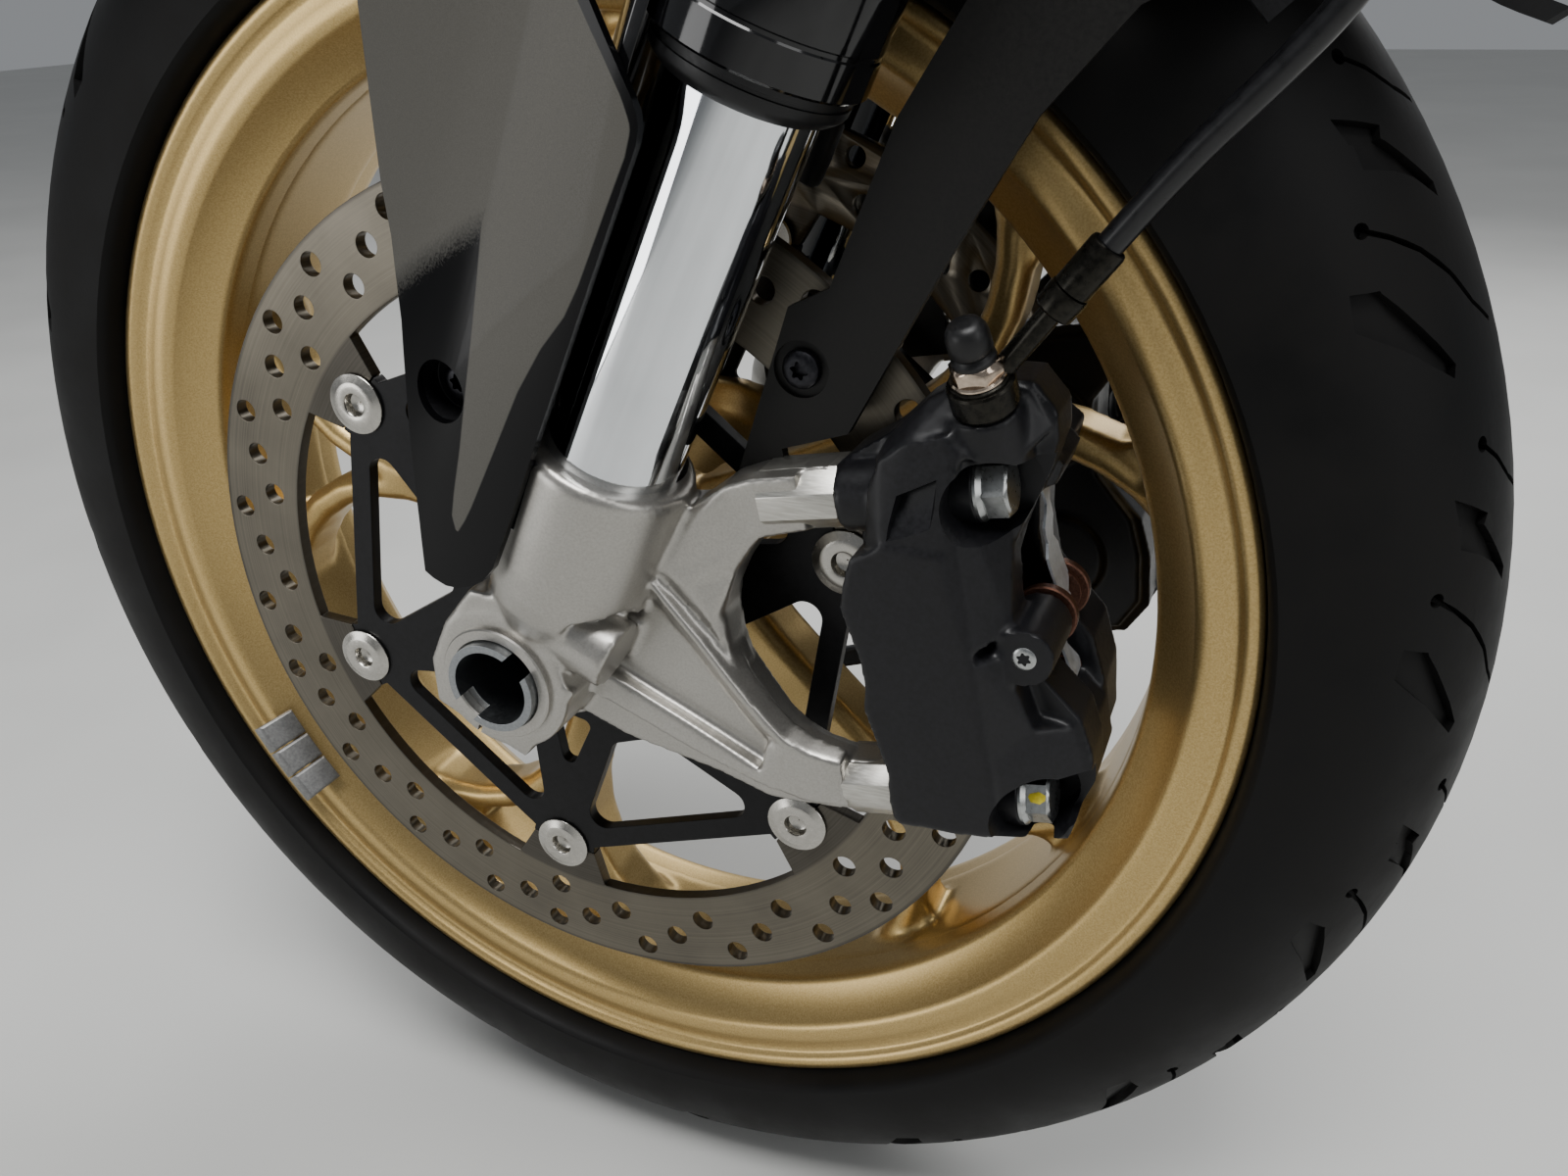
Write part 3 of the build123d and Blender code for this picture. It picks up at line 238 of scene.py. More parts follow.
# Fork guard: silver grey metallic over gloss black, masked along two borders and dusted along a third
def makeGuardPaint():
    look = {"silver": [(0.3, "#504e49"), (0.7, "#5c5a55")], "black": "#070708", "flake": 1 / (0.35 * mm),
            "dust": 1 / (0.7 * mm), "tall": 340, "deep": 80, "sharp": 0.25, "fuzz": 4.6}
    borders = {
        "front": [(52, 0), (52.3, -24.4), (56.8, -27.6), (64.6, -29.1), (79.3, -31.2), (97.4, -34.5),
            (113.8, -37.4), (131, -40.7), (145.6, -43.8)],
        "rear": [(52.3, -24.4), (57.7, -23.1), (63.9, -22.2), (86.4, -20.3), (107.4, -18.6), (123.2, -15.7),
            (135.2, -12), (145.4, -10.8), (168.8, -9.9), (182, -9.3), (188.2, -10), (190.3, -11),
            (194.7, -15), (200.7, -22.2), (209.5, -33.4), (212.5, -36.4)],
        "dusted": [(96, -80), (113.2, -68), (126.2, -59), (136.1, -51.4), (145.6, -43.8), (165, -26),
            (200, -20)],
    }
    material, shader, place = newMaterial("metallicGuardPaint", Coat_Weight=0.06, Coat_Roughness=0.05,
                                          Specular_IOR_Level=0.14)
    tall, deep = look["tall"], look["deep"]
    centred = addNode(material, "VectorMath", {"operation": "SUBTRACT"}, i0=place, i1=hub)
    height, ahead = [addNode(material, "VectorMath", {"operation": "DOT_PRODUCT"}, i0=centred, i1=way)
                     for way in (legUp / (tall * mm), legAft / (deep * mm))]
    aft = addNode(material, "Math", {"operation": "ADD"}, i0=ahead, i1=1)
    dust = addNode(material, "TexNoise", Vector=place, Scale=look["dust"], Detail=2)
    masks = {}
    for name, points in borders.items():
        # how far aft the border lies at each height, both from 0 to 1
        stops = [(s / tall, 1 + q / deep) for s, q in points]
        line = addNode(material, "ValToRGB", {"stops": stops}, Fac=height)
        past = addNode(material, "Math", {"operation": "SUBTRACT"}, i0=aft, i1=line)
        width = look["fuzz" if name == "dusted" else "sharp"] / deep
        if name == "dusted":
            past = addNode(material, "Math", {"operation": "MULTIPLY_ADD"}, i0=dust, i1=2 * width, i2=past)
            past = addNode(material, "Math", {"operation": "SUBTRACT"}, i0=past, i1=width)
        masks[name] = addNode(material, "MapRange", Value=past, From_Min=-width, From_Max=width)
    before = addNode(material, "Math", {"operation": "SUBTRACT"}, i0=1, i1=masks["front"])
    patch = addNode(material, "Math", {"operation": "MINIMUM"}, i0=before, i1=masks["dusted"])
    black = addNode(material, "Math", {"operation": "MAXIMUM"}, i0=patch, i1=masks["rear"])
    flake = addNode(material, "TexNoise", Vector=place, Scale=look["flake"], Detail=3, Roughness=0.7)
    silver = addNode(material, "ValToRGB", {"stops": look["silver"]}, Fac=flake)
    addNode(material, "Mix", {"data_type": "RGBA"}, [(shader, "Base Color")], i0=black, i6=silver,
            i7=look["black"])
    addNode(material, "ValToRGB", {"stops": [(0, 0.4), (1, 0)]}, [(shader, "Metallic")], Fac=black)
    addNode(material, "ValToRGB", {"stops": [(0, 0.52), (1, 0.16)]}, [(shader, "Roughness")], Fac=black)
    addNode(material, "Bump", {}, [(shader, "Normal")], Height=flake, Strength=0.05, Distance=0.03 * mm)
    return material


# Milled aluminium: pale, with the cutter's fine lines along the caliper's line
def makeMilledAlloy():
    look = {"line": 1 / (0.55 * mm), "colours": [(0.3, "#b2afa7"), (0.7, "#cfcdc6")],
            "gloss": [(0.3, 0.33), (0.7, 0.42)]}
    material, shader, place = newMaterial("milledAluminium", Metallic=0.95, Anisotropic=0.3)
    stretched = addNode(material, "Mapping", Vector=place, Rotation=(0, radians(-caliperAngle), 0),
                        Scale=(0.08, 1, 1))
    lines = addNode(material, "TexNoise", Vector=stretched, Scale=look["line"], Detail=3)
    coverSurface(material, shader, lines, look["colours"], look["gloss"], lines, strength=0.15, depth=0.02)
    return material


# Finishes that differ only in colour, gloss and grain: two colours, grain in mm, smooth and rough roughness,
# strength and depth in mm of the relief
def makeFinish(name, dark, light, grain, gloss, bump, depth=0.05, **shading):
    material, shader, place = newMaterial(name, **shading)
    pattern = addNode(material, "TexNoise", Vector=place, Scale=1 / (grain * mm), Detail=3, Roughness=0.6)
    coverSurface(material, shader, pattern, [(0.32, dark), (0.68, light)], [(0.3, gloss[0]), (0.7, gloss[1])],
                 pattern, bump, depth)
    return material


materials = {
    "tyre": makeTyreRubber(), "gold": makeGoldCoat(), "disc": makeDiscSteel(), "guard": makeGuardPaint(),
    "milled": makeMilledAlloy(),
    # hard chrome, ground and polished: a mirror with a faint film
    "chrome": makeFinish("hardChrome", "#dfe2e5", "#e9ecef", 30, (0.025, 0.07), 0.02, Metallic=1),
    # sand cast aluminium under a silver lacquer: satin with a fine pebble
    "cast": makeFinish("lacqueredCastAluminium", "#a3a09a", "#b1aea8", 0.8, (0.33, 0.39), 0.12, 0.04,
        Metallic=0.92, Coat_Weight=0.2, Coat_Roughness=0.3),
    # type III anodising on a stamped carrier: nearly black, silky
    "blackAnodised": makeFinish("blackAnodisedAluminium", "#0c0c0d", "#151517", 2, (0.32, 0.44), 0.1,
        Metallic=0.4, Specular_IOR_Level=0.3),
    # fork outer tube, bright dipped before anodising: it mirrors its surroundings darkly
    "glossTube": makeFinish("brightBlackAnodising", "#060607", "#0b0b0d", 6, (0.06, 0.12), 0.02,
        Specular_IOR_Level=0.35, Coat_Weight=0.3, Coat_Roughness=0.05),
    # turned aluminium buttons, clear anodised: bright with fine rings
    "turned": makeFinish("turnedAluminium", "#aeaba4", "#bcb9b2", 1.4, (0.22, 0.28), 0.03, Metallic=1),
    # steel with bright zinc plating and a clear passivation: pale and slightly blotched
    "zinc": makeFinish("zincPlatedSteel", "#a3a5a3", "#b8bab9", 1.5, (0.26, 0.34), 0.06, Metallic=1),
    # nickel plated banjo bolt: a warm mirror
    "nickel": makeFinish("nickelPlatedSteel", "#a89786", "#cdbcaa", 3, (0.1, 0.2), 0.05, Metallic=1),
    # axle steel, ground and phosphated: grey with a soft shine
    "axleSteel": makeFinish("groundAxleSteel", "#85888b", "#96999b", 1.2, (0.28, 0.36), 0.06, Metallic=1),
    # epoxy paint on the caliper: satin black with a fine orange peel
    "caliper": makeFinish("satinBlackEpoxy", "#0b0b0d", "#131316", 1.4, (0.34, 0.44), 0.22, 0.06,
        Specular_IOR_Level=0.3),
    # moulded polypropylene, spark eroded tool: matt and finely grained
    "plastic": makeFinish("mouldedPolypropylene", "#0b0b0c", "#131315", 0.9, (0.42, 0.56), 0.35, 0.08,
        Specular_IOR_Level=0.25),
    # acrylic lacquer over moulded nylon: deep gloss black
    "glossPlastic": makeFinish("glossBlackNylon", "#060607", "#0a0a0c", 9, (0.08, 0.14), 0.02,
        Coat_Weight=0.5, Coat_Roughness=0.04),
    # nitrile and EPDM mouldings: black with a slight sheen
    "rubber": makeFinish("mouldedNitrile", "#09090a", "#121213", 1.8, (0.36, 0.48), 0.15, 0.05,
        Specular_IOR_Level=0.35),
    # extruded hose cover: smoother and shinier than the mouldings
    "hose": makeFinish("extrudedHoseCover", "#09090a", "#101012", 3, (0.26, 0.36), 0.08, 0.03,
        Specular_IOR_Level=0.35, Coat_Weight=0.15, Coat_Roughness=0.2),
    # sintered pad metal: brown as old copper, grainy
    "padMetal": makeFinish("sinteredPadMetal", "#4a3026", "#664638", 0.8, (0.3, 0.45), 0.15, 0.05,
        Metallic=0.85),
    # rolled spring steel sheet: bright and smooth
    "spring": makeFinish("rolledSpringSteel", "#d3d8de", "#e6eaf0", 2.5, (0.36, 0.48), 0.08, Metallic=0.9),
    # pipe, eye and sleeve of the brake line, zinc and iron plated: nearly black with an olive cast
    "oliveSteel": makeFinish("blackPassivatedSteel", "#1b1a17", "#2c2a25", 2.2, (0.22, 0.36), 0.12,
        Metallic=0.9),
    # screws in black oxide: dark grey, oily
    "blackScrew": makeFinish("blackOxideSteel", "#26262a", "#38383b", 1, (0.3, 0.42), 0.15, Metallic=0.9),
    # yoke, sand cast under black powder coat: matt with a pebble
    "yoke": makeFinish("blackPowderCoat", "#0d0d0e", "#161618", 1.6, (0.4, 0.52), 0.3, 0.08,
        Specular_IOR_Level=0.3),
    # stay, pressed sheet under a matt black coat: faintly warm
    "stay": makeFinish("mattBlackEpoxy", "#100f0e", "#181715", 1.1, (0.46, 0.58), 0.2, 0.05,
        Specular_IOR_Level=0.25),
    # paint marker of the fitter: thin yellow, streaked
    "markPaint": makeFinish("yellowMarkPaint", "#b7a51c", "#d4c22d", 1.2, (0.35, 0.5), 0.3, 0.05),
    # stick-on weights, cast zinc in grey lacquer
    "weight": makeFinish("castZincWeight", "#6f6f6e", "#868685", 1.2, (0.4, 0.5), 0.2, 0.06, Metallic=0.7),
}
print("materials made:", len(materials))


# Camera at the photograph's place, looking as it looked
view = {
    # to the rear of the axle, above it, outboard
    "place": (230.2, 213.1, 414), "lens": 29.03, "right": (0.9221, 0.3861, -0.0248),
    "down": (0.1536, -0.4241, -0.8925), "forward": (-0.3551, 0.8192, -0.4504),
}
cameraData = bpy.data.cameras.new("camera")
cameraData.lens = view["lens"]
cameraData.sensor_width = 36
cameraData.clip_start = 0.01
camera = bpy.data.objects.new("camera", cameraData)
bpy.context.scene.collection.objects.link(camera)
axes = [Vector(view["right"]), -Vector(view["down"]), -Vector(view["forward"])]
aim = Matrix([[axis[row] for axis in axes] for row in range(3)]).to_4x4()
camera.matrix_world = Matrix.Translation(atAxle(*view["place"])) @ aim
bpy.context.scene.camera = camera

# Floor, soft boxes and sky
studio = {
    "floor": ("#bdbdba", "#c6c6c3"), "sky": "#e9edf2", "skyStrength": 0.3, "aim": (-0.28, 0, -0.5),
    # place, width, height, watts
    "boxes": [((-0.1, -0.9, 1.9), 1.5, 1.1, 84), ((-1.75, -1.65, -0.4), 0.9, 0.8, 9),
              ((1.5, -0.7, 0.3), 0.6, 1.6, 8), ((-0.2, 1.6, 0.6), 1.8, 1.2, 28)],
}
bpy.ops.mesh.primitive_plane_add(size=14, location=(hub.x, 0, hub.z - 0.3))
floor = bpy.context.object
floor.name = "studioFloor"
settle(floor)
floor.data.materials.append(makeFinish("paintedFloor", *studio["floor"], 400, (0.5, 0.6), 0.0))
for number, (place, width, height, watts) in enumerate(studio["boxes"]):
    softBox = bpy.data.objects.new("softBox%d" % number, bpy.data.lights.new("softBox%d" % number, "AREA"))
    softBox.data.shape = "RECTANGLE"
    softBox.data.size, softBox.data.size_y, softBox.data.energy = width, height, watts
    softBox.location = place
    softBox.rotation_euler = (Vector(studio["aim"]) - Vector(place)).to_track_quat("-Z", "Y").to_euler()
    bpy.context.scene.collection.objects.link(softBox)
sky = bpy.data.worlds.new("sky")
sky.use_nodes = True
background = sky.node_tree.nodes["Background"].inputs
background["Color"].default_value = toColour(studio["sky"])
background["Strength"].default_value = studio["skyStrength"]
bpy.context.scene.world = sky
print("camera, floor and lights placed")

# What each node of the frame is made of; a name without a side stands for both sides
finishes = {
    "tyre": "tyre", "tyre_valve": "rubber", "wheel_rim": "gold", "wheel_bearings": "axleSteel",
    "axle_spacers": "turned", "front_axle": "axleSteel", "hose_union": "blackAnodised",
    "bottom_yoke": "yoke", "steering_stem": "axleSteel", "mudguard": "plastic", "brake_disc": "disc",
    "disc_carrier": "blackAnodised", "disc_bobbins": "turned", "inner_tube": "chrome",
    "outer_tube": "glossTube", "dust_seal": "rubber", "fork_cap": "blackAnodised", "fork_foot": "cast",
    "caliper_body": "caliper", "caliper_bolts": "zinc", "brake_pads": "padMetal",
    "caliper_pistons": "turned", "pad_pin": "zinc", "hose_banjo": "oliveSteel", "bleed_nipple": "rubber",
    "brake_hose": "hose", "fork_guard": "guard", "tube_shield": "glossPlastic", "mudguard_stay": "stay",
}
for name, node in nodes.items():
    node.data.materials.clear()
    node.data.materials.append(materials[finishes[name.replace("_left", "").replace("_right", "")]])


# Starts: a closed outline, a prism, a hull, a rod and a turned shape, all from points in metres
def drawOutline(name, points):
    bpy.ops.mesh.primitive_circle_add(vertices=len(points), radius=0.01, location=(0, 0, 0))
    piece = bpy.context.object
    piece.name = name
    for vertex, point in zip(piece.data.vertices, points):
        vertex.co = point
    return piece


def makePrism(name, points, push):
    piece = drawOutline(name, points)
    startEdit(piece)
    bpy.ops.mesh.edge_face_add()
    bpy.ops.mesh.extrude_region_move(TRANSFORM_OT_translate={"value": push})
    endEdit()
    makeOutwards(piece)
    return piece


def makeHull(name, points):
    piece = drawOutline(name, points)
    startEdit(piece)
    bpy.ops.mesh.convex_hull()
    endEdit()
    makeOutwards(piece)
    return piece


def makeRod(name, start, end, radius, endRadius=None, sides=48):
    way = end - start
    bpy.ops.mesh.primitive_cone_add(vertices=sides, radius1=radius * mm, depth=way.length,
                                    radius2=(radius if endRadius is None else endRadius) * mm)
    piece = bpy.context.object
    piece.name = name
    facing = way.to_track_quat("Z", "Y").to_matrix().to_4x4()
    piece.matrix_world = Matrix.Translation((start + end) / 2) @ facing
    settle(piece)
    return piece


# Spins an outline round an axis; rings of the outline that touch the axis close by themselves
def makeTurned(name, profile, centre, axis, steps, angle=360):
    piece = drawOutline(name, profile)
    startEdit(piece)
    bpy.ops.mesh.spin(steps=steps, angle=radians(angle), center=centre, axis=axis)
    endEdit()
    makeOutwards(piece)
    return piece


# A section (radius, outboard) turned round the wheel's axle, from one angle above the rear through another
def makeHoop(name, section, steps, start=0, angle=360):
    return makeTurned(name, [turned(start, r, 0, y) for r, y in section], hub, axleWay, steps, angle)


# A profile (distance along, radius) turned round a line
def makeLathe(name, start, way, profile, steps=48):
    square = way.orthogonal().normalized()
    points = [start + (way * along + square * radius) * mm for along, radius in profile]
    return makeTurned(name, points, start, way, steps)


# A whole section from the half of it that lies outboard
def bothHalves(half):
    return half + [(r, -y) for r, y in reversed(half) if y > 0]


# Closes the two open ends that a part turn leaves
def closeEnds(piece):
    startEdit(piece)
    bpy.ops.mesh.region_to_loop()
    bpy.ops.mesh.fill_holes(sides=0)
    endEdit()
    makeOutwards(piece)


def copyPiece(piece, name):
    pick(piece)
    bpy.ops.object.duplicate()
    twin = bpy.context.object
    twin.name = name
    return twin


def joinPieces(name, pieces, angle=None):
    pick(*pieces)
    bpy.ops.object.join()
    joined = bpy.context.object
    joined.name = name
    if angle:
        smoothShade(joined, angle)
    return joined


# Cuts each of the cutters away, or keeps only what lies inside each of the limits
def cutAway(piece, *cutters, operation="DIFFERENCE"):
    for cutter in cutters:
        applyModifier(piece, "BOOLEAN", operation=operation, solver="EXACT", object=cutter)
        bpy.data.objects.remove(cutter)


def keepWithin(piece, *limits):
    cutAway(piece, *limits, operation="INTERSECT")


# Melts overlapping shapes into one cast skin, with soft inner corners
def castTogether(name, pieces, voxel, passes):
    piece = joinPieces(name, pieces)
    applyModifier(piece, "REMESH", mode="VOXEL", voxel_size=voxel * mm, use_smooth_shade=True)
    applyModifier(piece, "SMOOTH", factor=0.5, iterations=passes)
    return piece


# Leaves the piece in edit mode with only the faces that pass the test selected
def selectFaces(piece, test):
    pick(piece)
    bpy.ops.object.mode_set(mode="EDIT")
    bpy.ops.mesh.select_mode(type="FACE")
    bpy.ops.mesh.select_all(action="DESELECT")
    endEdit()
    for face in piece.data.polygons:
        face.select = test(face)
    bpy.ops.object.mode_set(mode="EDIT")


def bevelEdges(piece, width, angle, segments=2):
    applyModifier(piece, "BEVEL", width=width * mm, segments=segments, limit_method="ANGLE",
                  angle_limit=radians(angle))


# Rounds the edges sharper than an angle, and keeps the flats between them flat
def roundEdges(piece, width, angle=40, segments=3):
    bevelEdges(piece, width, angle, segments)
    smoothShade(piece, angle)
    applyModifier(piece, "WEIGHTED_NORMAL", keep_sharp=True)


# A smooth line through points, with some steps in each run
def smoothLine(points, steps):
    line = []
    padded = [points[0]] + list(points) + [points[-1]]
    for a, b, c, d in zip(padded, padded[1:], padded[2:], padded[3:]):
        for k in range(steps):
            t = k / steps
            line.append(tuple(0.5 * (2 * q + (r - p) * t + (2 * p - 5 * q + 4 * r - s) * t ** 2
                                     + (3 * q - p - 3 * r + s) * t ** 3) for p, q, r, s in zip(a, b, c, d)))
    return line + [tuple(points[-1])]


def fitPiece(piece, body, slotName, finish, *replaced):
    piece.data.materials.clear()
    piece.data.materials.append(materials[finish])
    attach(piece, body)
    if replaced:
        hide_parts(*replaced)


# Fits a piece of the left side and its twin on the rider's right
def fitBoth(piece, body, slotName, finish, *replaced):
    name = piece.name
    twin = copyPiece(piece, name + "Right")
    startEdit(twin)
    bpy.ops.transform.mirror(orient_type="GLOBAL", constraint_axis=(False, True, False),
                             center_override=(0, 0, 0))
    bpy.ops.mesh.flip_normals()
    endEdit()
    piece.name = name + "Left"
    fitPiece(piece, body, slotName, finish, *[node + "_left" for node in replaced])
    fitPiece(twin, body, slotName, finish, *[node + "_right" for node in replaced])


# A frame node's own shape, merged, with its edges broken
def breakEdges(node, name, width):
    piece = copyPiece(nodes[node], name)
    bpy.ops.object.parent_clear(type="CLEAR")
    for key in list(piece.keys()):
        del piece[key]
    startEdit(piece)
    bpy.ops.mesh.remove_doubles(threshold=0.02 * mm)
    bpy.ops.mesh.dissolve_limited(angle_limit=radians(0.6))
    endEdit()
    roundEdges(piece, width, 32, 2)
    return piece


# A facet of a casting: the hull of its corners (u, v, outboard) and of the same corners down at its floor
def makeFacet(corners, floor):
    return makeHull("facet", [onCaliper(*corner) for corner in corners]
                    + [onCaliper(u, v, floor) for u, v, out in corners])


# A plate of a casting, between two distances outboard
def makePlate(outline, low, high):
    return makePrism("plate", [onCaliper(u, v, low) for u, v in outline], outboard * (high - low) * mm)


# A round rod between two places given on the caliper's line
def makeBoss(start, end, radius, endRadius=None):
    return makeRod("boss", onCaliper(*start), onCaliper(*end), radius, endRadius)


# Tyre: a sector with its share of the tread cut in, repeated round the wheel. Grooves of one side are given
# in degrees round the wheel from the sector's dot, and degrees round the section from the crown
tyreShape = {
    "sectors": 16, "firstSector": 31.2, "ringRadius": 239.5, "sectionRadius": 60.5, "stepsRound": 9,
    "stepsAcross": 42, "dotRadius": 2.3, "sipeWidth": 1.5, "sipeDepth": 3.6, "wedgeDepth": 2.6,
    "treadRadius": 285, "overSide": 93, "dotDepth": 4.32,
    "sipes": [
        [(0, 50.6), (-1.1, 44), (-2.6, 36.4), (-4.6, 28.5), (-6.8, 21.7), (-8.4, 13)],
        [(-14.3, 31), (-15.6, 24), (-17.4, 16), (-18.6, 7)],
    ],
    "wedges": [
        [(5.2, 41.4), (2.7, 42.6), (1.6, 33), (4, 34)],
        [(1.7, 34), (4.1, 35), (2, 27.5), (0.8, 28)],
        [(0.9, 28.4), (2.1, 28), (-0.1, 20), (-0.9, 20.6)],
        [(-2.8, 59.8), (-4.9, 61.6), (-7.2, 50), (-3.4, 52)],
        [(-3.3, 52.6), (-7.1, 50.6), (-9.9, 37.8), (-9.2, 36.2), (-6.4, 44)],
        [(-16.6, 44), (-18.3, 43), (-19, 33), (-18.4, 31)],
    ],
    # the bead and the carcass inside it: radius, outboard
    "bead": [(235, 59.3), (233.9, 57.2), (233.2, 54.4), (232.8, 51), (232.6, 47.5), (231, 45.3),
        (222, 44.2), (218.6, 43.6), (218.6, 33), (224, 34.5), (230, 42)],
    "inside": [(238.5, 53), (262, 49), (279, 33), (288, 14)],
}


# A place on the tread, in degrees round the wheel and over the section
def onTyre(around, over, height, side=1):
    b = radians(over)
    reach = tyreShape["sectionRadius"] + height
    return turned(around, tyreShape["ringRadius"] + reach * cos(b), 0, side * reach * sin(b))


# From a place on the tread by a step in mm, all in degrees round the wheel and over the section
def stepOn(start, ahead, over):
    return (start[0] + degrees(ahead / tyreShape["treadRadius"]),
            start[1] + degrees(over / tyreShape["sectionRadius"]))


# The four corners of one run of a sipe, in degrees
def sipeRun(first, second, width):
    run = Vector(((second[0] - first[0]) * radians(1) * tyreShape["treadRadius"],
                  (second[1] - first[1]) * radians(1) * tyreShape["sectionRadius"]))
    ahead = run.normalized() * 0.3
    square = Vector((-run.y, run.x)).normalized() * width / 2
    return [stepOn(end, *(away + square * sign)) for end, away in ((first, -ahead), (second, ahead))
            for sign in (1, -1)]


# A cutter from above the tread down to a groove's floor
def cutGroove(outline, shift, side, depth):
    return makeHull("grooveCutter", [onTyre(around + shift, over, height, side) for height in (4, -depth)
                                     for around, over in outline])


def makeTyre():
    shape = tyreShape
    pitch = 360 / shape["sectors"]
    middle = shape["firstSector"] - pitch / 2
    steps, radius = int(shape["stepsAcross"] / 2), shape["sectionRadius"]
    over = [radians(shape["overSide"] * i / steps) for i in range(steps + 1)]
    crown = [(shape["ringRadius"] + radius * cos(b), radius * sin(b)) for b in over]
    section = bothHalves(crown + shape["bead"] + shape["inside"])
    sector = makeHoop("tyreSector", section, shape["stepsRound"], middle - pitch / 2, pitch)
    # closed at both ends, so that the sector is a solid while it is cut
    closeEnds(sector)
    for side, offset in ((1, 0), (-1, pitch / 2)):
        for turn in (-1, 0, 1):
            shift = shape["firstSector"] + offset + turn * pitch
            cutters = []
            for path in shape["sipes"]:
                for first, second in zip(path, path[1:]):
                    cutters.append(cutGroove(sipeRun(first, second, shape["sipeWidth"]), shift, side,
                                             shape["sipeDepth"]))
                angles = [k * pi / 6 for k in range(12)]
                dot = [stepOn(path[0], cos(a) * shape["dotRadius"], sin(a) * shape["dotRadius"])
                       for a in angles]
                cutters.append(cutGroove(dot, shift, side, shape["dotDepth"]))
            for outline in shape["wedges"]:
                cutters.append(cutGroove(outline, shift, side, shape["wedgeDepth"]))
            cutAway(sector, *cutters)
    # the ends come off again, and the sector is repeated round the wheel
    ends = [Vector((-sin(radians(a)), 0, cos(radians(a)))) for a in (middle - pitch / 2, middle + pitch / 2)]
    spots = [vertex.co - hub for vertex in sector.data.vertices]
    selectFaces(sector, lambda face: any(all(abs(spots[v].dot(end)) < 0.02 * mm for v in face.vertices)
                                         for end in ends))
    bpy.ops.mesh.delete(type="FACE")
    endEdit()
    copies = [sector]
    for i in range(1, shape["sectors"]):
        twin = copyPiece(sector, "tyreSector%d" % i)
        turn = Matrix.Rotation(radians(-i * pitch), 4, axleWay)
        twin.matrix_world = Matrix.Translation(hub) @ turn @ Matrix.Translation(-hub)
        settle(twin)
        copies.append(twin)
    tyre = joinPieces("treadedTyre", copies)
    makeOutwards(tyre)
    smoothShade(tyre, 30)
    fitPiece(tyre, "wheel", "tyre_rubber", "tyre", "tyre")
    print("tyre made:", len(tyre.data.polygons), "faces")


makeTyre()


# Rim: a rolled lip, a cove inside it, a broad face, and the slope down to the barrel, as radius and outboard.
# Spokes are laid out along and across a line at an angle above the rear
rimShape = {
    "half": [(203.5, 0), (203.5, 15), (205, 19), (213, 26), (217, 28.2), (218.2, 31), (218.2, 43.2),
        (219.6, 44.6), (230.2, 45.2), (231.6, 46), (232.2, 47.4), (232.2, 49.4), (231.5, 50.7),
        (230.2, 51.35), (228.4, 51.4), (226.9, 50.9), (225.9, 49.9), (225.2, 48.7), (224.2, 48),
        (222.6, 47.8), (219.5, 48.3), (216.2, 48.5), (213.6, 48.1), (211.9, 47.1), (211, 45.8),
        (207.6, 41.6), (203.2, 37.2), (200.2, 34.9), (198.6, 33.7), (198, 32.4), (197.6, 29), (197.6, 0)],
    "count": 5, "first": 30, "depth": 14, "chamfer": 4.2, "armRadius": 72.9, "armWidth": 13,
    "armCentre": (120, 76.4), "voxel": 1.9, "melt": 6, "armTurns": [88, 74, 60, 46, 34, 22, 10, -2],
    "stemEdge": [(33, -17), (60, -13.5), (90, -11.2), (118, -10.2), (136, -9)],
    "gussets": [
        [(176, 27.5), (198.5, 37), (199, 52), (188, 51), (180, 37)],
        [(188, 62), (198.5, 50), (193, 84), (190.2, 80)],
    ],
    "hub": [(20.2, 0), (36, 0), (36, 38), (39, 46), (47, 52), (50, 55), (50, 64.6), (27.7, 64.6),
        (27.7, 50.1), (20.2, 50.1)],
    "band": [(197.2, 0), (197.2, 22), (199.6, 27), (202.4, 27), (202.4, 0)],
}


# A bar with chamfered edges, given by its outline on a spoke's own axes
def makeBar(outline, angle, depth, chamfer):
    bar = makePrism("spokeBar", [turned(angle, u, v, -depth) for u, v in outline], outboard * 2 * depth * mm)
    selectFaces(bar, lambda face: abs(face.normal.y) > 0.9)
    bpy.ops.mesh.region_to_loop()
    bpy.ops.mesh.bevel(offset=chamfer * mm, segments=1, affect="EDGES")
    endEdit()
    return bar


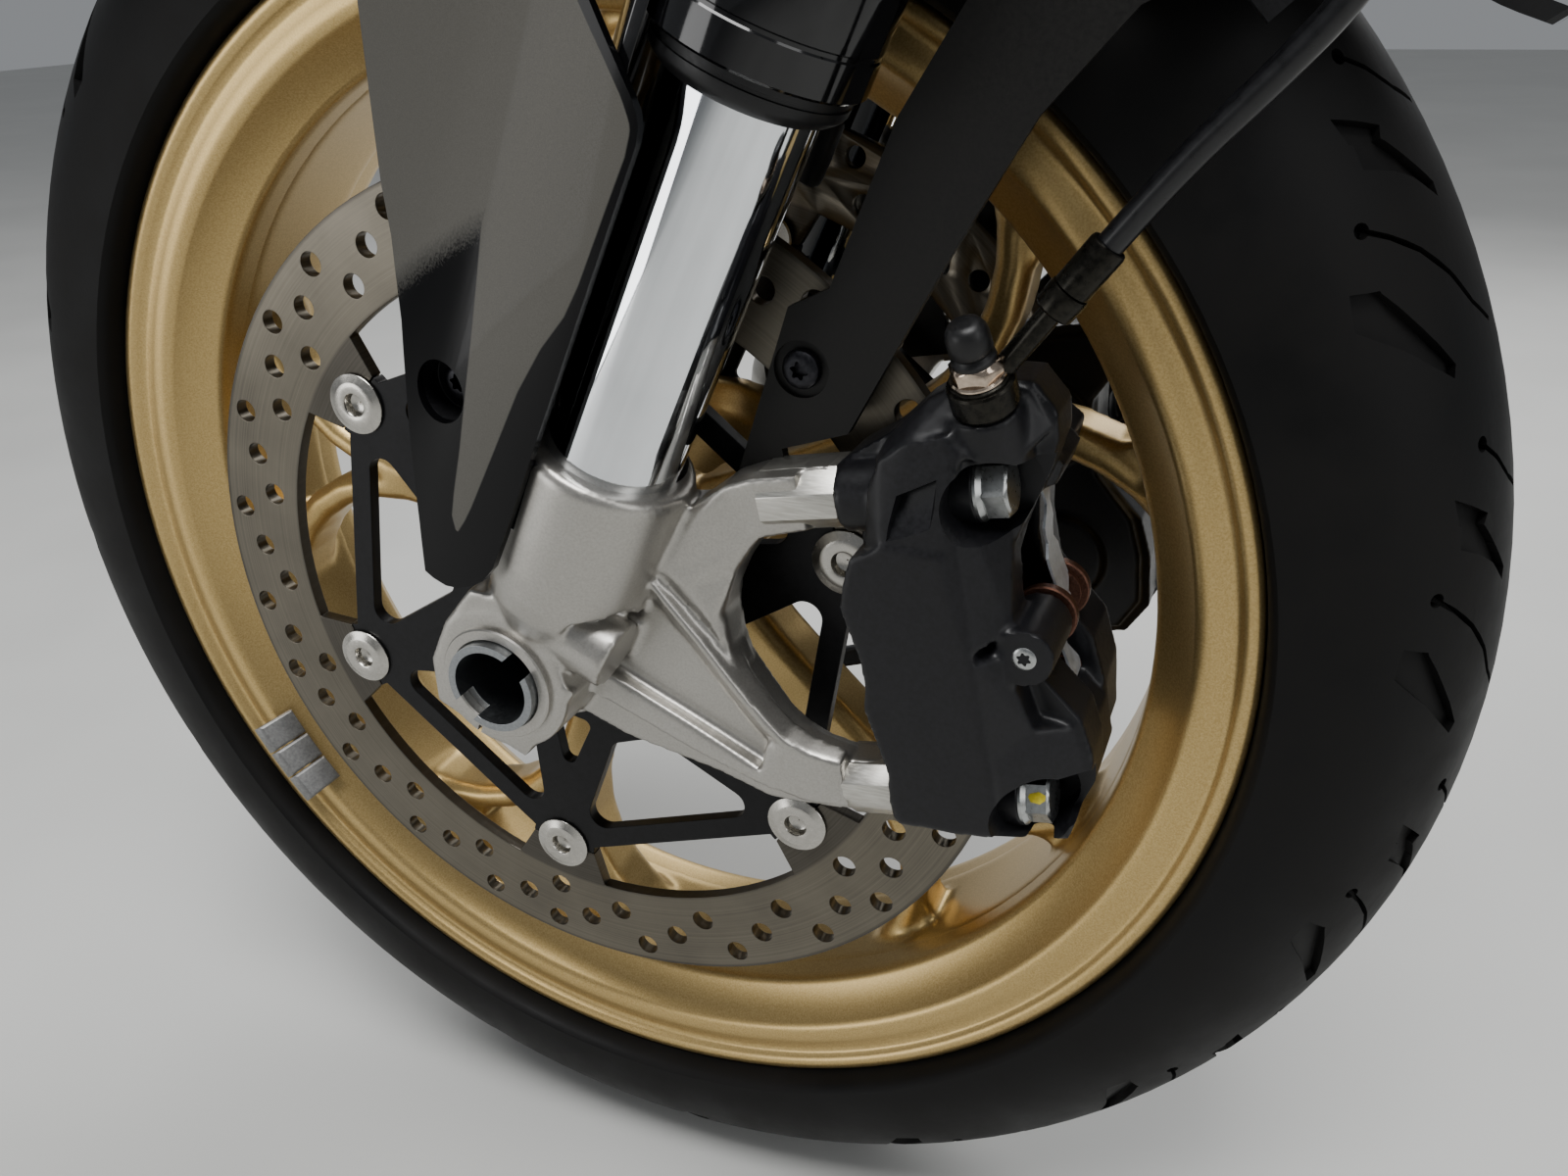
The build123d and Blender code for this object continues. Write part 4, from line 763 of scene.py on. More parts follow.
def makeWheel():
    shape = rimShape
    rim = makeHoop("castRim", bothHalves(shape["half"]), 144)
    smoothShade(rim, 40)
    fitPiece(rim, "wheel", "gold_paint", "gold", "wheel_rim")
    u0, v0 = shape["armCentre"]
    radius, width = shape["armRadius"], shape["armWidth"]
    depth, chamfer = shape["depth"], shape["chamfer"]
    stem = shape["stemEdge"] + [(u, -v) for u, v in reversed(shape["stemEdge"])]
    bars = []
    for i in range(shape["count"]):
        angle = shape["first"] + i * 360 / shape["count"]
        bars.append(makeBar(stem, angle, depth, chamfer))
        for sign in (1, -1):
            arm = []
            for edge, order in ((radius - width / 2, 1), (radius + width / 2, -1)):
                arm += [(u0 + edge * cos(radians(t)), sign * (v0 - edge * sin(radians(t))))
                        for t in shape["armTurns"][::order]]
            bars.append(makeBar(arm, angle, depth, chamfer))
            # gussets that flare the arm into the barrel on both its sides
            for gusset in shape["gussets"]:
                bars.append(makeBar([(u, sign * v) for u, v in gusset], angle, depth - 2.5, 2.5))
    bars.append(makeHoop("hubShell", bothHalves(shape["hub"]), 72))
    bars.append(makeHoop("barrelBand", bothHalves(shape["band"]), 144))
    spokes = castTogether("castSpokes", bars, shape["voxel"], shape["melt"])
    smoothShade(spokes, 60)
    fitPiece(spokes, "wheel", "gold_paint", "gold", "wheel_rim")
    print("rim and spokes made:", len(spokes.data.polygons), "faces in the spokes")


makeWheel()


# Fork foot, on the caliper's line (along, across, outboard) unless a note says otherwise
footShape = {
    "voxel": 1.1, "melt": 4, "tubeOut": 103, "tubeAft": 3,
    # round the tube: height above the axle, radius
    "barrel": [(-16, 0), (-16, 16), (14, 17.2), (20, 18), (26, 20.8), (33, 24), (40, 26), (50, 27.2),
        (62, 27.6), (86, 27.8), (88.6, 26.6), (89, 24.5), (88, 0)],
    # up the leg, aft of the axle
    "pinchBlock": [(-23.5, -19), (-23.5, 17.6), (6.4, 24.3), (18.6, 26.6), (26, 20), (29.2, 9.5),
        (29.2, -13.5), (26.5, -20.2), (8.7, -25), (-8, -25.6)],
    "web": [(10, 20), (24, 44), (50, 52.5), (62.5, 51), (76, 51), (81.5, 54), (88, 57.5), (97, 59.5),
        (122, 60), (122, 41), (97, 40.5), (94, 38.5), (84.9, 28.6), (79.7, 20.9), (77.5, 14), (76.6, 5),
        (77.4, -4), (79.7, -9), (87.2, -25), (92, -31), (99, -36), (107, -39), (122, -40), (122, -59),
        (96, -57.5), (77.8, -55.4), (60.2, -46.2), (27.3, -33.5), (8.9, -22.4), (0, -20)],
    # crest of the main rib, and the shorter one above it
    "crest": [(46, 49, 105), (50.3, 41.2, 107), (54.9, 32.3, 107), (61.3, 21, 107), (69.5, 7.4, 107),
        (77.5, -7.5, 107), (85.7, -22, 106.5), (90.1, -28.4, 106), (98, -34, 105.2), (108.4, -38.2, 104)],
    "upperCrest": [(52, 40, 106), (57, 36, 105.5), (62.9, 31.2, 105), (68.4, 25.6, 104.6),
        (74, 12.1, 103.6), (77.2, -3.5, 101.5)],
    "upperFace": [
        [(44, 50, 105), (50, 52, 102), (62.5, 51, 102.5), (76, 51, 102.8), (62.9, 31.2, 105),
         (52, 40, 106)],
        [(62.9, 31.2, 105), (76, 51, 102.8), (88, 57, 103), (95.1, 39.1, 100.8), (84.9, 28.6, 100.4),
         (68.4, 25.6, 104.6)],
        [(68.4, 25.6, 104.6), (84.9, 28.6, 100.4), (79.7, 20.9, 100.2), (77.3, 14.2, 100.2),
         (74, 12.1, 103.6)],
        [(74, 12.1, 103.6), (77.3, 14.2, 100.2), (76.5, 5, 100.2), (77.2, -3.5, 101.5)],
        [(88, 57, 103), (97, 59, 103), (112, 59, 103), (112, 41, 101), (97, 40.5, 101),
         (95.1, 39.1, 100.8)],
    ],
    "lowerBand": [
        [(17, -8.5, 106), (36.7, -21.5, 105.2), (38, -11, 104), (29, -4, 105)],
        [(36.7, -21.5, 105.2), (58.1, -35.2, 105), (58, -25, 104), (38, -11, 104)],
        [(58.1, -35.2, 105), (78, -46, 104.8), (80, -41, 104.5), (77.4, -40, 104), (58, -25, 104)],
        [(78, -46, 104.8), (92, -52, 104), (108, -54, 103.5), (108, -39, 103.8), (98, -35.5, 105),
         (90.1, -30, 105.5), (84.5, -30, 104.5), (81, -37, 104)],
    ],
    "pocketFloor": 98.5,
    # the boss beside the barrel and the hollow round it: up the leg and outboard, aft ends, radii
    "bossAt": (27.3, 110.4), "bossEnds": (5, 31), "bossRadius": 12,
    "hollow": [(15, 11.9), (15, 15.4), (17.4, 17.6), (60, 17.6), (60, 11.9)],
    # the rib across its crest: offset, and outboard, or None for the crest's own place
    "ribSection": [(0.7, None), (-0.7, None), (3.6, 97), (-10.5, 97.5)], "facetFloor": 90,
    # the bore for the tube stands inboard of the tube's own line
    "boreOut": 97.5, "boreEnds": (46, 120), "boreRadius": 21.6, "axleBoreRadius": 16.1,
    "blockOut": (86, 121.5), "armFloor": 88,
    # round the axle: from, to, radii
    "axleBosses": [(76, 121.8, 25.4, 25.4), (76, 92, 27, 30)],
    "valley": [(54.5, 38, 103), (59, 30.5, 102.4), (65.5, 19, 102), (73, 6.5, 101.6), (79.3, -6, 101)],
    "cutEdge": [(79.7, -8.8, 92), (87.2, -25, 92), (92, -31, 92), (99, -36, 92), (108, -39, 92)],
    # root of the upper arm, where it leaves the barrel
    "armRoot": [(30, 50, 112), (46, 49, 106), (50, 41, 107), (55, 32, 107), (48, 16, 104), (34, 20, 112)],
    # up the leg, aft of the axle
    "slit": [(-30, -1.6), (-30, -0.2), (-8, -0.2), (-8, -1.6)],
    # milled faces of the two lugs: where each starts along the line, and its section across and outboard
    "lugStarts": (98.5, 107.2, 94),
    "lugs": [
        [(40.6, 85), (40.6, 97), (46, 103.8), (53.4, 103.8), (59.8, 97.5), (59.8, 85)],
        [(-59.8, 85), (-59.8, 97), (-54, 102), (-49.6, 103.8), (-44.6, 103.8), (-39.8, 98.6), (-39.8, 85)],
        [(-59.6, 90), (-54, 101.8), (-49.6, 103.6), (-44.7, 103.6), (-44.7, 90)],
    ],
    "lugEnd": 123.45,
    # radius, outboard
    "axleRing": [(16.1, 118), (20.2, 118), (20.2, 123.3), (19.7, 123.8), (16.6, 123.8), (16.1, 123.3)],
}


def makeFoot():
    shape = footShape
    aft, out, floor = shape["tubeAft"], shape["tubeOut"], shape["facetFloor"]
    barrel = makeTurned("barrel", [upLeg(s, aft + r, out) for s, r in shape["barrel"]], upLeg(0, aft, out),
                        legUp, 64)
    low, high = shape["blockOut"]
    block = makePrism("pinchBlock", [upLeg(s, q, low) for s, q in shape["pinchBlock"]],
                      outboard * (high - low) * mm)
    height, outwards = shape["bossAt"]
    hollowStart = shape["hollow"][0][0]
    hollow = [(q - hollowStart, r) for q, r in shape["hollow"]]
    for piece in (barrel, block):
        cutAway(piece, makeLathe("hollow", upLeg(height, hollowStart, outwards), legAft, hollow))
    parts = [barrel, block]
    parts += [makeRod("axleBoss", atAxle(0, 0, start), atAxle(0, 0, end), radius, endRadius, 72)
              for start, end, radius, endRadius in shape["axleBosses"]]
    parts.append(makePlate(shape["web"], low, shape["pocketFloor"]))
    parts += [makeFacet(corners, floor) for corners in shape["upperFace"] + shape["lowerBand"]]
    crest, upper, valley = shape["crest"], shape["upperCrest"], shape["valley"]
    for first, second in zip(crest, crest[1:]):
        run = Vector((second[0] - first[0], second[1] - first[1])).normalized()
        rib = [onCaliper(u - run.y * offset, v + run.x * offset, base or y) for u, v, y in (first, second)
               for offset, base in shape["ribSection"]]
        parts.append(makeHull("rib", rib))
    # the valley rises from the rib's foot to the upper crest, and the cut round the wheel side slopes down
    for ridge, edge in ((valley, upper), (crest[5:], shape["cutEdge"])):
        parts += [makeFacet(corners, floor) for corners in zip(ridge, ridge[1:], edge, edge[1:])]
    parts.append(makeFacet(shape["armRoot"], shape["armFloor"]))
    bossEnds = [upLeg(height, q, outwards) for q in shape["bossEnds"]]
    parts.append(makeRod("sideBoss", *bossEnds, shape["bossRadius"]))
    foot = castTogether("castFoot", parts, shape["voxel"], shape["melt"])
    boreEnds = [upLeg(s, aft, shape["boreOut"]) for s in shape["boreEnds"]]
    cutAway(foot, makeRod("tubeBore", *boreEnds, shape["boreRadius"], sides=72),
            makeRod("axleBore", atAxle(0, 0, 60), atAxle(0, 0, 140), shape["axleBoreRadius"], sides=72),
            makePrism("slit", [upLeg(s, q, 70) for s, q in shape["slit"]], outboard * 70 * mm))
    smoothShade(foot, 50)
    fitBoth(foot, "fork", "cast_alloy", "cast", "fork_foot")
    lugs = []
    for start, section in zip(shape["lugStarts"], shape["lugs"]):
        lug = makePrism("lug", [onCaliper(start, v, y) for v, y in section],
                        onCaliper(shape["lugEnd"], 0, 0) - onCaliper(start, 0, 0))
        bevelEdges(lug, 0.35, 20)
        lugs.append(lug)
    fitBoth(joinPieces("milledLugs", lugs, 25), "fork", "cast_alloy", "milled")
    ring = makeHoop("axleRing", shape["axleRing"], 96)
    smoothShade(ring, 35)
    fitBoth(ring, "fork", "cast_alloy", "cast")
    print("fork feet made:", len(foot.data.polygons), "faces each")


makeFoot()


# Caliper, on its own line: outer half with its facets, inner half, and the bridges over the disc
caliperShape = {
    "voxel": 1.0, "melt": 3,
    "outerPlate": [(123.6, 60), (126, 42), (125, 17), (125, -12), (128, -31), (125, -47), (123.6, -60),
        (150, -60.5), (177, -60.5), (185, -47), (186, -36), (184, -24), (177, -14), (170, -4), (167, 5),
        (166, 14), (167, 22), (171, 32), (175, 40), (183, 53), (187, 62), (187.5, 70), (182, 79), (176, 80),
        (160, 79), (150, 75), (139, 67), (127, 62)],
    "face": [(156.5, 38), (139, 41.5), (129.5, 38), (126, 30), (123.8, 23), (125.3, 15), (127, 6),
        (127, -3), (125.2, -10), (127, -20), (129, -32), (128, -43), (129, -50), (147, -52.5), (161, -53),
        (161.5, -30), (160, -10), (161, 5), (158, 20), (156.5, 31)],
    "facets": [
        # shoulder round the recess, and the arch above it
        [(133, 40, 111), (137, 57, 111.5), (141.7, 65, 112), (150, 69.5, 112), (162, 71, 112),
         (165, 66, 112.5), (161, 52, 114), (157, 38, 115), (139, 41, 115)],
        [(137, 62, 104), (143, 69.5, 104), (155.7, 79, 103), (167, 83, 101), (170, 76, 104), (165, 66, 112),
         (150, 69.5, 112), (141.7, 65, 112)],
        # slopes down to the rear
        [(161, 62, 112.5), (160.5, 50, 113.5), (157, 37, 115), (156.3, 28, 115.3), (161, 8, 115),
         (170, 10, 104), (168, 19, 97), (168.5, 31, 95), (172, 40, 95)],
        [(162, 71, 112), (165, 64, 112), (178, 60, 104), (186, 66, 96), (181, 77, 97), (170, 80, 101)],
        [(161, 5, 115), (160.5, -10, 115), (161.5, -30, 114.5), (172, -22, 104), (168, -8, 107),
         (167, 4, 107)],
        [(161.5, -28, 114.5), (161, -53, 113.5), (128, -50, 113), (124, -57, 104), (150, -60, 104.5),
         (178, -60, 103), (184, -47, 96), (185, -34, 94), (181, -25, 96), (172, -22, 104)],
        [(129, -50, 113), (128, -36, 114), (124, -42, 103), (124, -57, 103)],
    ],
    "bridges": [
        [(160, 44), (171, 42), (181, 44), (184, 50), (176, 61), (160, 61), (152, 53)],
        [(166.5, -24), (178, -25), (184, -34), (184, -50), (176, -61), (160, -61), (152, -53), (163, -34)],
    ],
    "innerPlate": [(127, 50), (133, 59), (150, 62), (172, 62), (182, 51), (179, 44), (171, 36), (169, 22),
        (169.6, 6), (175, -3), (182, -14), (184, -30), (182, -50), (172, -61), (150, -61), (133, -58),
        (127, -48), (126, -20), (126, 20)],
    # start, end, radii
    "bosses": [((123.7, 50, 95), (163.8, 50, 95), 10.7), ((123.7, -50, 95), (163.8, -50, 95), 11.4),
        ((172.6, 2.8, 81), (172.6, 2.8, 107), 9, 8.8), ((168, 60, 95), (169.6, 76, 101.5), 13, 10.4)],
    # outboard, from and to; the inner half steps in by a taper in mm at its face
    "levels": {"outerPlate": (76.5, 95), "face": (90, 115.6), "bridges": (56, 80)}, "facetFloor": 88,
    "innerSteps": [(36.5, 60.4, 0), (33.2, 37, 3.5)], "discGap": (60.5, 76.5), "gapRadius": 165.5,
    "pockets": [(50, 12), (-48.5, 11.5)],
    # recess in the shoulder, deeper at its front upper corner
    "recess": [(146.5, 54.8, 109.6), (157.2, 58.6, 110.6), (154.2, 46.2, 114.2), (142, 43.6, 113.8),
        (145.6, 56.6, 118), (159.4, 61.2, 118), (155.4, 43.2, 118), (139.6, 41.4, 118)],
    # radius, outboard
    "rimClearance": [(190.5, 20), (230, 20), (230, 62), (190.5, 60.4)],
}


def makeCaliper():
    shape = caliperShape
    parts = [makePlate(shape[name], *shape["levels"][name]) for name in ("outerPlate", "face")]
    parts += [makeFacet(corners, shape["facetFloor"]) for corners in shape["facets"]]
    parts += [makeBoss(*boss) for boss in shape["bosses"]]
    for low, high, shrink in shape["innerSteps"]:
        parts.append(makePlate([(156 + (u - 156) * (1 - shrink / 30), v * (1 - shrink / 60))
                                for u, v in shape["innerPlate"]], low, high))
    for v in (-27, 27):
        parts.append(makeBoss((150, v, 40), (150, v, 30.5), 19.5, 17))
    parts += [makePlate(corners, *shape["levels"]["bridges"]) for corners in shape["bridges"]]
    caliper = castTogether("castCaliper", parts, shape["voxel"], shape["melt"])
    cutters = []
    # pockets for the two bolts, open to the rear
    for v, radius in shape["pockets"]:
        cutters.append(makeBoss((168.3, v, 84.5), (170.5, v - 1, 125), radius, radius + 0.6))
        low, high = v - radius, v + radius
        rear = [(168, low + 2, 90), (192, low + 6, 90), (192, high - 4, 90), (168, high - 2, 90)]
        cutters.append(makeFacet(rear, 125))
    cutters.append(makeHull("recess", [onCaliper(*corner) for corner in shape["recess"]]))
    cutters.append(makeHoop("rimClearance", shape["rimClearance"], 96))
    low, high = shape["discGap"]
    cutters.append(makeRod("discGap", atAxle(0, 0, low), atAxle(0, 0, high), shape["gapRadius"], sides=128))
    cutAway(caliper, *cutters)
    smoothShade(caliper, 40)
    for v in (50, -50):
        seat = makeBoss((150, v, 95), (164, v, 95), 9.7)
        roundEdges(seat, 0.8)
        caliper = joinPieces("castCaliper", [caliper, seat])
    fitBoth(caliper, "fork", "caliper_black", "caliper", "caliper_body")
    print("calipers made:", len(caliper.data.polygons), "faces each")


makeCaliper()


# Points round a line, some way along it, one at each angle; radius gives how far out each one lies
def ringPoints(start, way, along, radius, angles):
    square = way.orthogonal().normalized()
    other = way.cross(square)
    return [start + (way * along + (square * cos(a) + other * sin(a)) * radius(a)) * mm for a in angles]


# A screw's head with a six-lobed socket
def makeLobedHead(name, seat, way, radius, height):
    dome = [(0, 0), (0, radius - 0.3), (0.3, radius), (height * 0.4, radius), (height * 0.7, radius * 0.93),
            (height * 0.9, radius * 0.78), (height, radius * 0.58), (height, 0)]
    head = makeLathe(name, seat, way, dome, 40)
    angles = [radians(k * 10) for k in range(36)]
    socket = ringPoints(seat, way, height * 0.3, lambda a: radius * (0.4 + 0.08 * cos(6 * a)), angles)
    cutAway(head, makePrism("socket", socket, way * height * mm))
    smoothShade(head, 30)
    return head


# A bolt's six-sided head with its corners turned off
def makeHexHead(name, seat, way, apothem, height, turn=0):
    corner = apothem / cos(pi / 6)
    points = []
    for along, radius, sides in ((0, corner, 6), (height - 0.9, corner, 6), (height, apothem * 0.95, 36)):
        angles = [2 * pi * k / sides + radians(turn) for k in range(sides)]
        points += ringPoints(seat, way, along, lambda a: radius, angles)
    head = makeHull(name, points)
    smoothShade(head, 20)
    return head


# Pieces that keep the frame's shape, each edge broken as a cutter, a mould or a tumbler leaves it.
# Node: name, body, slot, finish, width of the broken edge
brokenPairs = {
    "brake_disc": ("drilledDisc", "wheel", "disc_steel", "disc", 0.3),
    "disc_carrier": ("stampedCarrier", "wheel", "black_anodised", "blackAnodised", 0.7),
    "tube_shield": ("tubeShield", "fork", "gloss_black", "glossPlastic", 0.6),
    "fork_cap": ("forkCap", "fork", "black_anodised", "blackAnodised", 0.5),
    "brake_pads": ("brakePads", "fork", "pad_steel", "padMetal", 0.4),
}
brokenSingles = {
    "wheel_bearings": ("wheelBearings", "wheel", "axle_steel", "axleSteel", 0.4),
    "axle_spacers": ("axleSpacers", "fork", "bobbin_alloy", "turned", 0.5),
    "front_axle": ("hollowAxle", "fork", "axle_steel", "axleSteel", 0.5),
    "hose_union": ("hoseUnion", "fork", "black_anodised", "blackAnodised", 0.7),
    "bottom_yoke": ("bottomYoke", "fork", "black_anodised", "yoke", 1.6),
    "steering_stem": ("steeringStem", "fork", "axle_steel", "axleSteel", 0.5),
}
for node, (name, body, slotName, finish, width) in brokenPairs.items():
    fitBoth(breakEdges(node + "_left", name, width), body, slotName, finish, node)
for node, (name, body, slotName, finish, width) in brokenSingles.items():
    fitPiece(breakEdges(node, name, width), body, slotName, finish, node)
print("edges broken on", 2 * len(brokenPairs) + len(brokenSingles), "pieces")


# Bobbins: turned buttons with a broad chamfer, a flat face and a web across the bore
bobbinShape = {
    "circle": 110, "count": 6, "first": 20,
    "profile": [(68.8, 0.3), (68.8, 3.7), (63.6, 3.7), (63.6, 10.6), (64.2, 11.3), (65.4, 11.3), (66, 10.8),
        (66, 9), (71, 9), (71, 10.8), (71.4, 11.3), (72, 11.35), (72.2, 11.2), (73.2, 8.5), (73.4, 8.1),
        (73.4, 4.9), (73.2, 4.4), (72.6, 4), (70.6, 3.9), (70.1, 3.7), (69.6, 2.6), (69.4, 0.9),
        (69.4, 0.3)],
}


def makeBobbins():
    shape = bobbinShape
    bobbins = []
    for i in range(shape["count"]):
        centre = turned(shape["first"] + i * 360 / shape["count"], shape["circle"], 0, 0)
        bobbins.append(makeLathe("bobbin%d" % i, centre, outboard, shape["profile"]))
    fitBoth(joinPieces("discBobbins", bobbins, 32), "wheel", "bobbin_alloy", "turned", "disc_bobbins")


# Fork tubes and seal: along the tube's axis, radius
tubeShape = {
    "inner_tube": [(40, 19), (40, 21), (40.5, 21.5), (421.5, 21.5), (422, 21.2), (422, 19)],
    "outer_tube": [(212, 24.5), (212, 28.7), (212.8, 29.5), (222, 29.5), (222.5, 29.1), (223.5, 29.1),
        (224, 29.5), (237, 29.5), (238.2, 29.2), (241, 28.2), (242.4, 28), (504, 28), (506, 28.2),
        (513, 28.8), (515, 29), (590, 29), (592, 28.9), (629, 26.6), (631, 26.5), (744, 26.5), (745, 25.6),
        (745, 24.5)],
    "dust_seal": [(203, 21.6), (203, 23.2), (203.6, 24.2), (205.6, 26.4), (206.6, 26.9), (208.8, 27),
        (209, 26.4), (209.8, 26.4), (210, 27), (212, 27), (212, 24.5), (224, 24.5), (224, 21.6)],
}
# node: name, steps, slot, finish
tubePieces = {
    "inner_tube": ("innerTube", 128, "tube_chrome", "chrome"),
    "outer_tube": ("outerTube", 128, "outer_tube_black", "glossTube"),
    "dust_seal": ("dustSeal", 96, "seal_rubber", "rubber"),
}


def makeTubes():
    foot = upLeg(0, footShape["tubeAft"], footShape["tubeOut"])
    tubes = []
    for node, (name, steps, slotName, finish) in tubePieces.items():
        tube = makeLathe(name, foot, legUp, tubeShape[node], steps)
        smoothShade(tube, 25)
        tubes.append((tube, "fork", slotName, finish, node))
    for tube in tubes:
        fitBoth(*tube)


# Fork guard: a curved skin, cut to its outline, with a deep hole for the mudguard's screw
guardShape = {
    # square to the tubes: aft of the axle, outboard
    "arc": [(-4, 131.5), (-12, 131.6), (-20, 131.4), (-28, 130.9), (-36, 130), (-44, 128.5), (-52, 126.6),
        (-61, 124.2), (-70, 121.2), (-80, 117.6), (-92, 113.1)],
    "front": (-200, 72), "wall": 3,
    # up the leg, aft of the axle
    "outline": [(32, -31.5), (31.6, -28), (32, -23), (34, -18.6), (38, -14.4), (42, -11.4), (48, -9.6),
        (60, -9.2), (186, -7.4), (190, -8.2), (193, -9.8), (196, -12.6), (211.5, -31), (214, -33),
        (331, -33), (331, -209), (134, -84.6), (123, -75.8), (102.6, -63.8), (71.5, -50), (46.9, -38.2)],
    "topRadius": 304, "hole": (91.8, -43.2), "holeRadius": 9.3,
    # a cup behind the hole, from its floor outboard
    "cup": [(0, 0), (0, 10.4), (10.6, 10.4), (10.6, 9.3), (1.4, 9.3), (1.2, 9), (1.2, 0)],
    "cupFloor": 115.4, "screwSeat": 116.5, "screw": (6, 3.4),
}


def makeGuard():
    shape = guardShape
    outer = smoothLine(shape["arc"], 4) + [shape["front"]]
    section = outer + [(q, out - shape["wall"]) for q, out in reversed(outer)]
    guard = makePrism("forkGuard", [upLeg(20, q, out) for q, out in section], legUp * 0.312)
    keepWithin(guard, makePrism("outline", [upLeg(s, q, 60) for s, q in shape["outline"]], outboard * 0.1),
               makeRod("top", atAxle(0, 0, 50), atAxle(0, 0, 150), shape["topRadius"], sides=256))
    s, q = shape["hole"]
    cutAway(guard, makeRod("hole", upLeg(s, q, 100), upLeg(s, q, 150), shape["holeRadius"]))
    roundEdges(guard, 0.8, 45)
    fitBoth(guard, "fork", "guard_paint", "guard", "fork_guard")
    # the screw deep in the hole that clips the guard to the mudguard
    cup = makeLathe("guardCup", upLeg(s, q, shape["cupFloor"]), outboard, shape["cup"])
    smoothShade(cup, 30)
    fitBoth(cup, "fork", "gloss_black", "plastic")
    screw = makeLobedHead("guardScrew", upLeg(s, q, shape["screwSeat"]), outboard, *shape["screw"])
    fitBoth(screw, "fork", "bolt_zinc", "blackScrew")


# Mudguard: an arched shell, a wing to each fork guard and a flap at its rear
mudguardShape = {
    "profile": [(322, 0), (321.4, 12), (319.1, 24), (316.2, 36), (311.9, 48), (308.6, 56), (304, 62.6),
        (298, 67.4), (292, 69), (286, 69)],
    "wall": 3, "shellTurn": (43, 83), "skirt": 298,
    "wing": [(-34, 66), (-34, 126.7), (-52, 123.4), (-70, 118.2), (-165, 82), (-165, 66)],
    # rear flap: degrees above the rear, height over the crown
    "flapLow": [(45, -3), (42, -1.6), (39, 0), (37, 4.4), (35, 12)],
    "flapHigh": [(35, 18), (37, 10.4), (39, 6), (42, 2.2), (45, 0)], "flapHalfWidth": 27,
    # corners taken off the flap's end: degrees, outboard
    "flapCorners": [
        [(34, 30), (34, 15), (35.3, 22)],
        [(34, 30), (35.3, 22), (37.6, 27.4), (37.6, 30)],
    ],
    "wingTurn": (66, 38),
}


def makeMudguard():
    shape = mudguardShape
    wall, skirt = shape["wall"], shape["skirt"]
    outer = smoothLine(shape["profile"], 3)
    # the wall grows thin towards the edge
    inner = [(r - wall * (1 if y < 60 else (r - 286) / 20), max(y - wall * (y / 69) ** 2, 0))
             for r, y in outer]
    half = outer + [(285.4, 68), (285.4, 67)] + [(r, y) for r, y in reversed(inner) if r > 285.9]
    halves = []
    for sign in (1, -1):
        side = makeHoop("shellHalf", [(r, sign * y) for r, y in half], 64, *shape["shellTurn"])
        closeEnds(side)
        halves.append(side)
    shell = joinPieces("mudguardShell", halves)
    makeOutwards(shell)
    pieces = [shell]
    for sign in (1, -1):
        band = [(skirt - wall, 60), (skirt, 60), (skirt, 129), (skirt - wall, 129)]
        wing = makeHoop("wing", [(r, sign * y) for r, y in band], 24, *shape["wingTurn"])
        closeEnds(wing)
        limit = [upLeg(150, q, sign * out) for q, out in shape["wing"]]
        keepWithin(wing, makePrism("wingLimit", limit, legUp * 0.2))
        roundEdges(wing, 0.6)
        pieces.append(wing)
    crown, halfWidth = shape["profile"][0][0], shape["flapHalfWidth"]
    edge = smoothLine(shape["flapLow"], 3) + smoothLine(shape["flapHigh"], 3)
    flap = makePrism("flap", [turned(a, crown + over, 0, -halfWidth) for a, over in edge],
                     outboard * 2 * halfWidth * mm)
    cutAway(flap, *[makeHull("corner", [turned(a, r, 0, sign * y) for r in (300, 360) for a, y in corner])
                    for sign in (1, -1) for corner in shape["flapCorners"]])
    roundEdges(flap, 1.1)
    pieces.append(flap)
    fitPiece(joinPieces("mudguard", pieces, 32), "fork", "black_plastic", "plastic", "mudguard")


# Stay between the foot and the mudguard, with a sunk screw: to the rear of the axle, above it
stayShape = {
    "outline": [(70, 58), (92, 62), (89, 80), (110, 87), (139, 140), (159.8, 175), (181.7, 199.7),
        (210.3, 214), (191.7, 235.9), (157.6, 221.7), (140.2, 200.9), (123.1, 173.8), (104.5, 129),
        (92, 123)],
    "low": 83, "high": 87, "screw": (95.7, 105.1), "screwRadius": 6, "sinkRadius": 8.6,
    "pad": [(46, 284), (50, 284), (50, 298), (46, 298)],
    # the arm's outer face leans in from the crease to its top
    "lean": [(92, 121.5, 87), (140, 140.5, 87), (225, 214, 84.6), (165, 246, 84.6)],
}


def makeStay():
    shape = stayShape
    stay = makePrism("mudguardStay", [atAxle(x, z, shape["low"]) for x, z in shape["outline"]],
                     outboard * (shape["high"] - shape["low"]) * mm)
    cutAway(stay, makeHull("lean", [atAxle(x, z, out) for x, z, out in shape["lean"]]
                           + [atAxle(x, z, 95) for x, z, out in shape["lean"]]))
    x, z = shape["screw"]
    cutAway(stay, makeRod("sink", atAxle(x, z, 85.4), atAxle(x, z, 95), shape["sinkRadius"]))
    roundEdges(stay, 0.7, 30)
    pad = makePrism("pad", [turned(a, r, 0, 69) for a, r in shape["pad"]], outboard * 0.0145)
    roundEdges(pad, 0.8)
    fitBoth(joinPieces("mudguardStay", [stay, pad]), "fork", "black_plastic", "stay", "mudguard_stay")
    screw = makeLobedHead("stayScrew", atAxle(x, z, 85.2), outboard, shape["screwRadius"], 3.6)
    fitBoth(screw, "fork", "bolt_zinc", "blackScrew")


